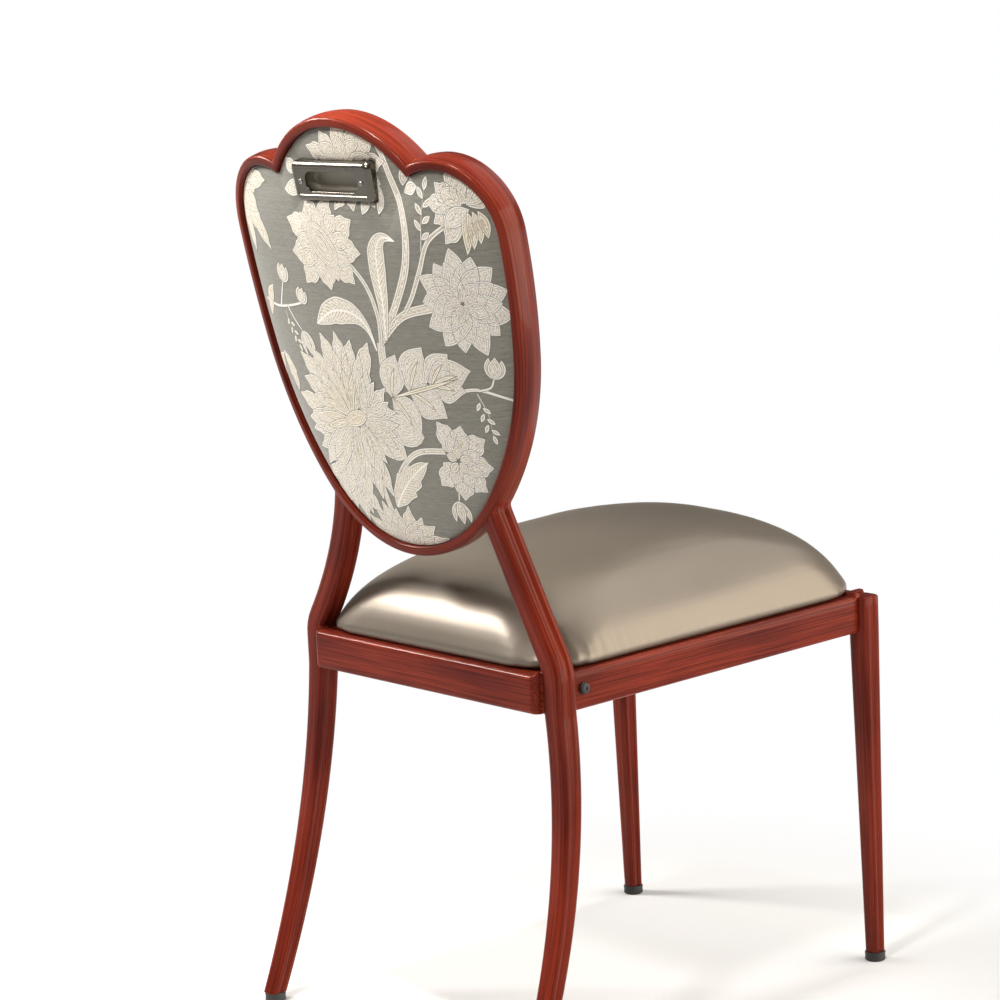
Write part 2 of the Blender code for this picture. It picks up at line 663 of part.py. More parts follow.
def make_glides(finish, parent):
    top, chamfer = GLIDE_HEIGHT, GLIDE_CHAMFER
    profile = [(0, top + GLIDE_STEM_LENGTH), (GLIDE_STEM_RADIUS, top + GLIDE_STEM_LENGTH),
               (GLIDE_STEM_RADIUS, top), (GLIDE_RADIUS - chamfer, top), (GLIDE_RADIUS, top - chamfer),
               (GLIDE_RADIUS, chamfer), (GLIDE_RADIUS - chamfer, 0), (0, 0)]
    for side_name, side in SIDES.items():
        feet = {"rear_": (REAR_LEG_X + REAR_FOOT_SPLAY, REAR_LEG_Y + REAR_FOOT_SWEEP),
                "front_": (FRONT_LEG_X, FRONT_LEG_Y - FRONT_FOOT_SPLAY)}
        for end, (x, y) in feet.items():
            glide = add_object("foot_glide_" + end + side_name, turned(profile), finish, parent)
            glide.location = (side * x, y, 0.0)


def make_bumpers(finish, parent):
    """Stacking buffers on the outer faces of the side rails, just ahead of the rear legs."""
    profile = [(0, BUMPER_HEIGHT), (BUMPER_RADIUS - BUMPER_CHAMFER, BUMPER_HEIGHT),
               (BUMPER_RADIUS, BUMPER_HEIGHT - BUMPER_CHAMFER), (BUMPER_RADIUS, 0), (0, 0)]
    for side_name, side in SIDES.items():
        bumper = add_object("stacking_bumper_" + side_name, turned(profile), finish, parent)
        bumper.rotation_euler = (0.0, side * pi / 2, 0.0)
        bumper.location = (side * (SIDE_RAIL_OUTER_X + GAP),
                           REAR_LEG_Y - TUBE_DEPTH / 2 - BUMPER_FROM_LEG, RAIL_TOP - BUMPER_DROP)


def main():
    clear_scene()
    chair = bpy.data.objects.new("chair", None)
    seat_frame = bpy.data.objects.new("seat_frame", None)
    seat_frame.parent = chair
    for empty in (chair, seat_frame):
        bpy.context.scene.collection.objects.link(empty)
    finishes = {
        "mahogany_frame": material("mahogany_frame", (0.30, 0.055, 0.035), 0.22),
        "floral_jacquard": material("floral_jacquard", (0.42, 0.41, 0.34), 0.65),
        "seat_satin": material("seat_satin", (0.52, 0.46, 0.37), 0.38),
        "plywood": material("plywood", (0.48, 0.34, 0.20), 0.70),
        "dust_cloth": material("dust_cloth", (0.02, 0.02, 0.02), 0.90),
        "nickel": material("nickel", (0.30, 0.27, 0.23), 0.25, 1.0),
        "screw_steel": material("screw_steel", (0.45, 0.45, 0.45), 0.35, 1.0),
        "rubber": material("rubber", (0.02, 0.02, 0.02), 0.60),
    }
    frame = finishes["mahogany_frame"]
    make_hoop(frame, chair)
    trim = hoop_cutter(chair, frame)
    for side_name in SIDES:
        make_rear_leg(side_name, frame, chair, trim)
        make_front_leg(side_name, frame, chair)
    make_rails(frame, seat_frame)
    clearances = post_clearances(frame, chair)
    board = make_seat(finishes, seat_frame, clearances)
    make_corners(board, frame, finishes["screw_steel"], seat_frame, clearances)
    make_dust_cover(finishes["dust_cloth"], seat_frame)
    rear_pad = make_back_upholstery(finishes, chair)
    make_handle(rear_pad, finishes, chair)
    make_glides(finishes["rubber"], chair)
    make_bumpers(finishes["rubber"], seat_frame)
    rake(seat_frame)


main()
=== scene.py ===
"""Dresses the upholstered hoop-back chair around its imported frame.

The chair faces -Y and left (+X) is the sitter's. Places on the back are given as u across, v up the
slope and n forward from the rear face of the hoop. All lengths are metres unless a name says mm.
"""

import json
import logging
from collections.abc import Callable, Sequence
from dataclasses import dataclass, field
from enum import Enum
from math import acos, atan2, cos, exp, hypot, pi, radians, sin, sqrt, tan
from typing import TypeVar

import bmesh
import bpy
import numpy as np
from mathutils import Matrix, Vector

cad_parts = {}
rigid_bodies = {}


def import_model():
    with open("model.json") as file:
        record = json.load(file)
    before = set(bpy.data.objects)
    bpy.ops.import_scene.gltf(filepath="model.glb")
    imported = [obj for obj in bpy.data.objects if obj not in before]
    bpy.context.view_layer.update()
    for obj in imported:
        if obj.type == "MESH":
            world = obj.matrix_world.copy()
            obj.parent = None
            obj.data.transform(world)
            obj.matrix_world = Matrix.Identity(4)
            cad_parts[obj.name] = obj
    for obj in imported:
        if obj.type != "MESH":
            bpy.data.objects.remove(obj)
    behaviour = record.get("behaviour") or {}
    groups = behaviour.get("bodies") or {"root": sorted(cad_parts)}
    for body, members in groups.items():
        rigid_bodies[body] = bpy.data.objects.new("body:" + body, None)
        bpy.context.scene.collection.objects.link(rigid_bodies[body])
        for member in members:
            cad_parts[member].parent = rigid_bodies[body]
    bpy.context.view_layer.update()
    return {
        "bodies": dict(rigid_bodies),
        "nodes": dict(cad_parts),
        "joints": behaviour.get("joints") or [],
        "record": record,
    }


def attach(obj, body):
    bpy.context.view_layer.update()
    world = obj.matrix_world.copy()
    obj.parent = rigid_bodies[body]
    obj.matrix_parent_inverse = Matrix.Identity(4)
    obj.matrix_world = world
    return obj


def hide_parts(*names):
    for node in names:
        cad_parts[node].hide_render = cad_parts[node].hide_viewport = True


log = logging.getLogger("chair")

Triple = tuple[float, float, float]
Colour = Triple
Pair = tuple[float, float]
Outward = tuple[float, float, float, float]
Ring = tuple[float, float, float, float]
Laid = tuple[Vector, tuple[Vector, ...]]
Place = Callable[[float, float], Laid]
Item = TypeVar("Item")
Material = bpy.types.Material
Piece = bpy.types.Object

MM = 0.001


class Side(Enum):
    """The two sides of the chair, as the sitter names them."""

    LEFT = 1
    RIGHT = -1

    @property
    def word(self) -> str:
        """The side's name inside a piece's name."""
        return self.name.lower()


class GrainFrom(Enum):
    """Where a wood finish finds the direction of its grain."""

    TUBE = "grain"
    OBJECT = "object"


class Wire:
    """A shader socket for Python sums: each operator adds the Math node that works it out."""

    def __init__(self, shade: "Shade", socket: bpy.types.NodeSocket) -> None:
        """Keep a socket with the finish it belongs to."""
        self.shade = shade
        self.socket = socket

    def _sum(self, operation: str, first: "Wire | float", second: "Wire | float") -> "Wire":
        """Add one Math node."""
        return self.shade.add("ShaderNodeMath", {"operation": operation}, {0: first, 1: second})

    def __add__(self, other: "Wire | float") -> "Wire":
        """This plus another."""
        return self._sum("ADD", self, other)

    __radd__ = __add__

    def __sub__(self, other: "Wire | float") -> "Wire":
        """This less another."""
        return self._sum("SUBTRACT", self, other)

    def __rsub__(self, other: "Wire | float") -> "Wire":
        """Another less this."""
        return self._sum("SUBTRACT", other, self)

    def __mul__(self, other: "Wire | float") -> "Wire":
        """This times another."""
        return self._sum("MULTIPLY", self, other)

    __rmul__ = __mul__

    def band(self, low: float, high: float) -> "Wire":
        """A smooth step from 0 at the low value to 1 at the high one."""
        return self.shade.add("ShaderNodeMapRange", {"interpolation_type": "SMOOTHSTEP"},
                              {"Value": self, "From Min": low, "From Max": high})


class Shade:
    """The node tree of one finish, with the short cuts that its sums need."""

    def __init__(self, name: str) -> None:
        """Start a material with its usual shader."""
        self.material = bpy.data.materials.new(name)
        self.material.use_nodes = True
        self.tree = self.material.node_tree
        self.shader = self.tree.nodes["Principled BSDF"]

    def add(self, kind: str, settings: dict[str, object], inputs: dict[int | str, object],
            output: int = 0) -> Wire:
        """Add a node.

        Args:
            kind: Type of the node.
            settings: Options of the node, set before its sockets.
            inputs: Values or wires for its sockets, by name or number.
            output: Number of the socket that is handed back.

        Returns:
            The chosen output.
        """
        node = self.tree.nodes.new(kind)
        for key, value in settings.items():
            setattr(node, key, value)
        for key, value in inputs.items():
            self.feed(node.inputs[key], value)
        return Wire(self, node.outputs[output])

    def feed(self, socket: bpy.types.NodeSocket, value: object) -> None:
        """Link a wire to a socket, or set a plain value on it."""
        if isinstance(value, Wire):
            self.tree.links.new(value.socket, socket)
        elif isinstance(value, tuple) and socket.type == "RGBA":
            socket.default_value = (*value, 1.0)
        else:
            socket.default_value = value

    def dress(self, inputs: dict[str, object]) -> Material:
        """Set the shader's sockets and hand back the finished material."""
        for key, value in inputs.items():
            self.feed(self.shader.inputs[key], value)
        return self.material

    def mix(self, share: Wire | float, first: object, second: object) -> Wire:
        """Blend two colours by a share."""
        return self.add("ShaderNodeMix", {"data_type": "RGBA"}, {0: share, 6: first, 7: second}, 2)

    def noise(self, vector: Wire, stretch: Triple, detail: float = 2.0) -> Wire:
        """Noise on a vector stretched along its three axes."""
        wide = self.add("ShaderNodeVectorMath", {"operation": "MULTIPLY"}, {0: vector, 1: stretch})
        return self.add("ShaderNodeTexNoise", {}, {"Vector": wide, "Scale": 1.0, "Detail": detail})

    def attribute(self, name: str) -> Wire:
        """A vector that the mesh carries."""
        return self.add("ShaderNodeAttribute", {"attribute_name": name}, {}, 1)

    def object_place(self) -> Wire:
        """The place on the object."""
        return self.add("ShaderNodeTexCoord", {}, {}, 3)

    def part(self, vector: Wire, axis: int) -> Wire:
        """One number of a vector."""
        return self.add("ShaderNodeSeparateXYZ", {}, {0: vector}, axis)

    def bump(self, height: Wire, distance: float, strength: float) -> Wire:
        """A surface normal roughened by a height."""
        return self.add("ShaderNodeBump", {}, {"Height": height, "Distance": distance,
                                               "Strength": strength})


@dataclass(frozen=True)
class MahoganyGloss:
    """Red mahogany grain under a clear gloss coat."""

    name: str = "mahogany_gloss"
    source: GrainFrom = GrainFrom.TUBE
    dark: Colour = (0.062, 0.0060, 0.0038)
    light: Colour = (0.242, 0.0310, 0.0140)
    pore: Colour = (0.036, 0.0036, 0.0026)
    gloss_tint: Colour = (1.0, 0.42, 0.30)

    def make(self) -> Material:
        """Mix slow patches, long streaks and fine pores, all drawn out along the grain."""
        shade = Shade(self.name)
        if self.source is GrainFrom.TUBE:
            grain = shade.attribute(self.source.value)
        else:
            grain = shade.object_place()
        streaks = shade.noise(grain, (560.0, 560.0, 6.0), 4.0)
        clouds = shade.noise(grain, (70.0, 70.0, 3.0), 2.0)
        patches = shade.noise(grain, (7.0, 7.0, 5.0), 2.0)
        pores = shade.noise(grain, (900.0, 900.0, 16.0), 1.0).band(0.56, 0.70)
        tone = (streaks * 0.45 + clouds * 0.2 + patches * 0.35).band(0.35, 0.65)
        colour = shade.mix(tone, self.dark, self.light)
        return shade.dress({
            "Base Color": shade.mix(pores * 0.45, colour, self.pore),
            "Roughness": pores * 0.10 + 0.30,
            "Normal": shade.bump(1.0 - pores, 0.0001, 0.15),
            "Coat Weight": 0.12, "Coat Roughness": 0.06,
            "Specular IOR Level": 0.10, "Specular Tint": self.gloss_tint})


@dataclass(frozen=True)
class JacquardGround:
    """Grey-green ground cloth with fine weft streaks."""

    name: str = "jacquard_ground"
    dark: Colour = (0.158, 0.149, 0.124)
    light: Colour = (0.276, 0.262, 0.222)

    def make(self) -> Material:
        """Weave fine streaks across the cloth."""
        shade = Shade(self.name)
        cloth = shade.attribute("cloth")
        weft = shade.noise(cloth, (90.0, 1500.0, 1.0), 2.0)
        slub = shade.noise(cloth, (14.0, 420.0, 1.0), 2.0)
        warp = shade.noise(cloth, (1600.0, 240.0, 1.0), 1.0)
        tone = (weft * 0.5 + slub * 0.25 + warp * 0.25).band(0.34, 0.66)
        return shade.dress({
            "Base Color": shade.mix(tone, self.dark, self.light),
            "Roughness": tone * 0.12 + 0.50,
            "Normal": shade.bump(weft + warp, 0.0004, 0.25),
            "Sheen Weight": 0.32, "Sheen Roughness": 0.40, "Specular IOR Level": 0.35})


@dataclass(frozen=True)
class JacquardThread:
    """Cream and pale gold threads of the woven flowers, with white edges and drawn veins."""

    name: str = "jacquard_thread"
    cream: Colour = (0.800, 0.750, 0.685)
    beige: Colour = (0.500, 0.440, 0.360)
    white: Colour = (0.940, 0.925, 0.905)
    gold: Colour = (0.530, 0.440, 0.255)
    gap: Colour = (0.240, 0.228, 0.188)
    warm: Colour = (1.0, 0.95, 0.83)
    line_spacing: float = 0.0029
    vein_spacing: float = 0.0042

    def make(self) -> Material:
        """Lay edge, line work and speckle over each petal by its own measures."""
        shade = Shade(self.name)
        thread = shade.attribute("thread")
        petal = shade.attribute("petal")
        edge = shade.part(thread, 2)
        stitch = shade.part(petal, 2)
        aside = shade.add("ShaderNodeMath", {"operation": "ABSOLUTE"}, {0: shade.part(thread, 0)})
        place = shade.add("ShaderNodeVectorMath", {"operation": "ADD"}, {0: thread, 1: petal})
        speck = shade.noise(place, (620.0, 460.0, 0.0), 2.0).band(0.42, 0.58)
        gilt = shade.noise(place, (460.0, 80.0, 3.0), 1.0).band(0.56, 0.64)
        drift = shade.noise(place, (190.0, 140.0, 0.0), 2.0) * 12.0
        echo = edge * (2 * pi / self.line_spacing) + drift
        veins = (shade.part(thread, 1) - aside) * (2 * pi / self.vein_spacing) + drift * 0.5
        turns = echo + (veins - echo) * stitch
        lines = shade.add("ShaderNodeMath", {"operation": "SINE"}, {0: turns}).band(-0.05, 0.55)
        fill = shade.mix(speck, self.beige, self.cream)
        fill = shade.mix(gilt * 0.50, fill, self.gold)
        fill = shade.mix(lines * 0.65, fill, self.white)
        fill = shade.mix(edge.band(0.0034, 0.0027) * 0.70, fill, self.beige)
        fill = shade.mix(aside.band(0.0011, 0.0007) * stitch, fill, self.white)
        fill = shade.mix(edge.band(0.0022, 0.0017), fill, self.white)
        fill = shade.mix(edge.band(0.0010, 0.0005), fill, self.gap)
        fill = shade.add("ShaderNodeMix", {"data_type": "RGBA", "blend_type": "MULTIPLY"},
                         {0: shade.part(petal, 0), 6: fill, 7: self.warm}, 2)
        return shade.dress({
            "Base Color": fill, "Roughness": 0.52,
            "Normal": shade.bump(speck + lines, 0.0005, 0.35),
            "Sheen Weight": 0.10, "Sheen Roughness": 0.40, "Specular IOR Level": 0.3})


@dataclass(frozen=True)
class ChampagneSatin:
    """Plain champagne satin with a broad sheen."""

    name: str = "champagne_satin"
    dark: Colour = (0.180, 0.149, 0.116)
    light: Colour = (0.222, 0.185, 0.146)

    def make(self) -> Material:
        """Vary the tone of the cloth slightly and roughen its sheen with fine threads."""
        shade = Shade(self.name)
        place = shade.object_place()
        threads = shade.noise(place, (1100.0, 1100.0, 1100.0), 2.0)
        clouds = shade.noise(place, (16.0, 16.0, 16.0), 2.0)
        return shade.dress({
            "Base Color": shade.mix(threads * 0.5 + clouds * 0.5, self.dark, self.light),
            "Roughness": threads * 0.08 + 0.33, "Metallic": 0.45,
            "Normal": shade.bump(threads, 0.0002, 0.12), "Specular IOR Level": 0.5})


@dataclass(frozen=True)
class DarkNickel:
    """Dark polished nickel with a fine brushed line."""

    name: str = "dark_nickel"
    dark: Colour = (0.092, 0.079, 0.064)
    light: Colour = (0.185, 0.165, 0.138)
    # Paler colour painted into the finger recess: painted light for its hollow floor.
    painted_recess_light: Colour = (0.300, 0.268, 0.215)

    def make(self) -> Material:
        """Brush the metal along the handle; the finger recess is duller and less metallic, and its
        colour is painted paler as painted light.
        """
        shade = Shade(self.name)
        place = shade.object_place()
        dish = shade.part(shade.attribute("dish"), 0)
        brush = shade.noise(place, (30.0, 1800.0, 1800.0), 2.0)
        stain = shade.noise(place, (90.0, 90.0, 90.0), 2.0)
        # The dish mark paints the finger recess paler, which is painted light; its lower metallic and
        # higher roughness are its own finish.
        return shade.dress({
            "Base Color": shade.mix(dish, shade.mix(brush * 0.5 + stain * 0.5, self.dark, self.light),
                                    self.painted_recess_light),
            "Metallic": 1.0 - dish * 0.7, "Roughness": brush * 0.10 + dish * 0.25 + 0.22})


@dataclass(frozen=True)
class ScrewSteel:
    """Plated steel with faint marks."""

    name: str = "screw_plating"
    dark: Colour = (0.30, 0.29, 0.28)
    light: Colour = (0.55, 0.54, 0.52)

    def make(self) -> Material:
        """Mottle the plating."""
        shade = Shade(self.name)
        marks = shade.noise(shade.object_place(), (700.0, 700.0, 700.0), 3.0)
        return shade.dress({"Base Color": shade.mix(marks, self.dark, self.light),
                            "Metallic": 1.0, "Roughness": marks * 0.2 + 0.25})


@dataclass(frozen=True)
class BlackRubber:
    """Matt black rubber with a little bloom."""

    name: str = "black_rubber"
    dark: Colour = (0.010, 0.010, 0.011)
    bloom: Colour = (0.030, 0.029, 0.028)

    def make(self) -> Material:
        """Cloud the rubber with bloom and a fine skin."""
        shade = Shade(self.name)
        place = shade.object_place()
        bloom = shade.noise(place, (260.0, 260.0, 260.0), 3.0)
        skin = shade.noise(place, (2400.0, 2400.0, 2400.0), 1.0)
        return shade.dress({"Base Color": shade.mix(bloom, self.dark, self.bloom),
                            "Roughness": bloom * 0.2 + 0.45,
                            "Normal": shade.bump(skin, 0.0001, 0.2)})


@dataclass(frozen=True)
class RawPlywood:
    """Raw plywood: pale veneer with darker glue layers through its thickness."""

    name: str = "raw_plywood"
    dark: Colour = (0.26, 0.150, 0.070)
    light: Colour = (0.50, 0.350, 0.200)

    def make(self) -> Material:
        """Draw the veneer's grain along Y and its layers through the thickness."""
        shade = Shade(self.name)
        place = shade.object_place()
        grain = shade.noise(place, (160.0, 6.0, 160.0), 4.0)
        layers = shade.noise(place, (2.0, 2.0, 620.0), 0.0)
        return shade.dress({"Base Color": shade.mix(grain * 0.7 + layers * 0.3, self.dark, self.light),
                            "Roughness": grain * 0.2 + 0.6,
                            "Normal": shade.bump(grain, 0.0003, 0.2)})


@dataclass(frozen=True)
class LiningCloth:
    """Black bonded lining cloth."""

    name: str = "lining_cloth"
    dark: Colour = (0.010, 0.010, 0.010)
    light: Colour = (0.040, 0.039, 0.038)

    def make(self) -> Material:
        """Scatter the short fibres of a bonded cloth."""
        shade = Shade(self.name)
        place = shade.object_place()
        first = shade.noise(place, (900.0, 260.0, 260.0), 2.0)
        second = shade.noise(place, (260.0, 900.0, 260.0), 2.0)
        fibres = (first + second).band(0.85, 1.25)
        return shade.dress({"Base Color": shade.mix(fibres, self.dark, self.light),
                            "Roughness": 0.85, "Normal": shade.bump(fibres, 0.0003, 0.3)})


class Skin:
    """A mesh in the making: grids laid on formulas, joined at their seams and closed."""

    def __init__(self, *layers: str) -> None:
        """Start an empty mesh that carries the named vectors on its points."""
        self.bm = bmesh.new()
        self.layers = [self.bm.verts.layers.float_vector.new(name) for name in layers]

    def lay(self, across: int, along: int, place: Place) -> list[bmesh.types.BMVert]:
        """Lay a grid on a formula.

        Args:
            across: Number of faces along the formula's first number.
            along: Number of faces along its second number.
            place: Gives a point and its carried vectors for two numbers from 0 to 1.

        Returns:
            The points of the grid.
        """
        made = bmesh.ops.create_grid(self.bm, x_segments=across, y_segments=along, size=1.0)["verts"]
        for vert in made:
            spot, marks = place((vert.co.x + 1) / 2, (vert.co.y + 1) / 2)
            vert.co = spot
            for layer, mark in zip(self.layers, marks):
                vert[layer] = mark
        return made

    def spin(self, profile: Sequence[Pair], steps: int) -> None:
        """Turn a solid about the Z axis.

        Args:
            profile: Radius and height of each point, from axis to axis.
            steps: Number of faces round the axis.
        """
        verts = [self.bm.verts.new((radius, 0.0, height)) for radius, height in profile]
        edges = [self.bm.edges.new(pair) for pair in zip(verts, verts[1:])]
        bmesh.ops.spin(self.bm, geom=verts + edges, axis=(0, 0, 1), cent=(0, 0, 0), angle=2 * pi,
                       steps=steps, use_merge=True)

    def close(self, weld: float = 1e-6) -> None:
        """Join the seams, fill open ends and turn the faces outwards."""
        bmesh.ops.remove_doubles(self.bm, verts=self.bm.verts[:], dist=weld)
        open_edges = [edge for edge in self.bm.edges if edge.is_boundary]
        if open_edges:
            bmesh.ops.holes_fill(self.bm, edges=open_edges, sides=0)
        bmesh.ops.recalc_face_normals(self.bm, faces=self.bm.faces[:])

    def move(self, matrix: Matrix) -> None:
        """Move the whole mesh."""
        bmesh.ops.transform(self.bm, matrix=matrix, verts=self.bm.verts[:])

    def done(self, name: str, finish: Material, sharp: float = radians(40)) -> Piece:
        """Turn the mesh into an object.

        Args:
            name: Name of the piece.
            finish: Its material.
            sharp: Edges that turn more than this angle stay crisp.

        Returns:
            The new object, at the origin.
        """
        mesh = bpy.data.meshes.new(name)
        self.bm.to_mesh(mesh)
        self.bm.free()
        mesh.shade_smooth()
        mesh.set_sharp_from_angle(angle=sharp)
        mesh.materials.append(finish)
        obj = bpy.data.objects.new(name, mesh)
        bpy.context.scene.collection.objects.link(obj)
        return obj

    def fit(self, name: str, finish: Material, node: str,
            sharp: float = radians(40)) -> None:
        """Close the mesh and fix it to the chair.

        Args:
            name: Name of the piece.
            finish: Its material.
            node: The CAD node that it replaces.
            sharp: Edges that turn more than this angle stay crisp.
        """
        self.close()
        install(self.done(name, finish, sharp), (node,))


def install(obj: Piece, stands_for: Sequence[str] = ()) -> None:
    """Fix a piece to the chair.

    Args:
        obj: The finished piece.
        stands_for: The CAD nodes that it replaces.
    """
    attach(obj, "root")
    if stands_for:
        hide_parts(*stands_for)
    log.info("%s: %d faces", obj.name, len(obj.data.polygons))


def pick(items: Sequence[Item], share: float) -> Item:
    """The item that lies a share of the way through a list."""
    return items[round(share * (len(items) - 1))]


def between(first: Pair, last: Pair, share: float) -> Pair:
    """The place that lies a share of the way from one place to another."""
    return first[0] + (last[0] - first[0]) * share, first[1] + (last[1] - first[1]) * share


def beyond(place: Pair, angle: float, size: float) -> Pair:
    """The place at an angle and a distance from another."""
    return place[0] + size * cos(angle), place[1] + size * sin(angle)


def rounded(first: Vector, corner: Vector, last: Vector, t: float) -> Vector:
    """A point of the curve that rounds a corner, from 0 at its first end to 1 at its last."""
    return first * (1 - t) ** 2 + corner * (2 * t * (1 - t)) + last * t ** 2


def arc(centre: Pair, radius: float, start: float, end: float, count: int) -> list[Outward]:
    """Points along an arc.

    Args:
        centre: Middle of the arc.
        radius: Its radius.
        start: Angle of the first point.
        end: Angle of the last point.
        count: Number of steps.

    Returns:
        Each point with its outward direction.
    """
    points = []
    for i in range(count + 1):
        angle = start + (end - start) * i / count
        across, up = cos(angle), sin(angle)
        points.append((centre[0] + radius * across, centre[1] + radius * up, across, up))
    return points


def bend(centre: Pair, radius: float, start: float, end: float, count: int) -> list[Pair]:
    """Points along an arc, without their outward directions."""
    return [(x, y) for x, y, _, _ in arc(centre, radius, start, end, count)]


def rounded_loop(width: float, depth: float, radius: float, corner: int, side: int) -> list[Pair]:
    """A rounded rectangle about the origin, anticlockwise.

    Args:
        width: Size along the first axis.
        depth: Size along the second axis.
        radius: Radius of the corners.
        corner: Steps round each corner.
        side: Steps along each straight side.

    Returns:
        The points of the loop, with the first one repeated at its end.
    """
    x, y = width / 2 - radius, depth / 2 - radius
    loop: list[Pair] = []
    for cx, cy, start in ((x, y, 0.0), (-x, y, pi / 2), (-x, -y, pi), (x, -y, 3 * pi / 2)):
        loop += bend((cx, cy), radius, start, start + pi / 2, corner)
    full: list[Pair] = []
    step = corner + 1
    for i, point in enumerate(loop):
        full.append(point)
        if i % step == corner:
            end = loop[(i + 1) % len(loop)]
            full += [between(point, end, j / side) for j in range(1, side)]
    return full + full[:1]


def smooth(low: float, high: float, value: float) -> float:
    """A smooth step from 0 at the low value to 1 at the high one."""
    share = min(1.0, max(0.0, (value - low) / (high - low)))
    return share * share * (3 - 2 * share)


@dataclass(frozen=True)
class SeatFrameSizes:
    """Places of the seat frame that several pieces share."""

    rail_top: float = 0.410
    rail_height: float = 0.040
    rail_thickness: float = 0.022
    rear_face_y: float = 0.2001
    rear_leg_x: float = 0.191
    front_leg_x: float = 0.194
    leg_setback: float = 0.0225
    leg_to_leg: float = 0.4485
    rake: float = radians(0.7)
    tube_width: float = 0.026
    tube_depth: float = 0.028
    side_rail_inset: float = 0.006
    front_rail_inset: float = 0.003
    glide_height: float = 0.010
    gap: float = 0.0003

    @property
    def rail_bottom(self) -> float:
        """Height of the rails' undersides at the rear."""
        return self.rail_top - self.rail_height

    @property
    def rear_leg_y(self) -> float:
        """Middle line of the rear legs at the seat frame."""
        return self.rear_face_y - self.leg_setback

    @property
    def front_leg_y(self) -> float:
        """Middle line of the front legs at the seat frame."""
        return self.rear_leg_y - self.leg_to_leg

    @property
    def side_rail_x(self) -> float:
        """Outer face of the side rails."""
        return self.rear_leg_x + self.tube_width / 2 - self.side_rail_inset

    @property
    def front_face_y(self) -> float:
        """Front face of the front rail."""
        return self.front_leg_y - self.tube_depth / 2 + self.front_rail_inset

    @property
    def foot_z(self) -> float:
        """Height of the legs' lower ends."""
        return self.glide_height + self.gap

    def lift(self, y: float) -> float:
        """How far the seat frame has risen at a place towards the front."""
        return (self.rear_leg_y - self.tube_depth / 2 - y) * tan(self.rake)


@dataclass(frozen=True)
class BackFrame:
    """The sloped and bowed plane of the back."""

    origin_y: float = 0.2191
    origin_z: float = 0.610
    tilt: float = radians(11.0)
    radius: float = 0.922
    locate_rounds: int = 4

    @property
    def up(self) -> Vector:
        """Direction up the slope."""
        return Vector((0.0, sin(self.tilt), cos(self.tilt)))

    @property
    def forward(self) -> Vector:
        """Direction through the back towards the sitter."""
        return Vector((0.0, -cos(self.tilt), sin(self.tilt)))

    @property
    def origin(self) -> Vector:
        """Middle of the back's datum line."""
        return Vector((0.0, self.origin_y, self.origin_z))

    def point(self, u: float, v: float, n: float) -> Vector:
        """Place a point on the bowed back.

        Args:
            u: Distance across.
            v: Distance up the slope.
            n: Distance forward from the rear face of the hoop.

        Returns:
            The point in the chair's frame.
        """
        turn = u / self.radius
        length = hypot(1.0, turn)
        ahead = u * u / (2 * self.radius) + n / length
        return Vector((u - n * turn / length,
                       self.origin_y + v * sin(self.tilt) - ahead * cos(self.tilt),
                       self.origin_z + v * cos(self.tilt) + ahead * sin(self.tilt)))

    def flat_point(self, u: float, v: float, n: float) -> Vector:
        """Place a point on the flat plane that touches the back at its middle line."""
        return self.origin + Vector((u, 0.0, 0.0)) + self.up * v + self.forward * n

    def locate(self, spot: Vector) -> tuple[float, float, float]:
        """Find where a point lies on the back.

        Args:
            spot: A point in the chair's frame.

        Returns:
            Its u, v and n.
        """
        away = spot - self.origin
        ahead = away.dot(self.forward)
        u, n = away.x, 0.0
        for _ in range(self.locate_rounds):
            turn = u / self.radius
            length = hypot(1.0, turn)
            n = (ahead - u * u / (2 * self.radius)) * length
            u = away.x + n * turn / length
        return u, away.dot(self.up), n


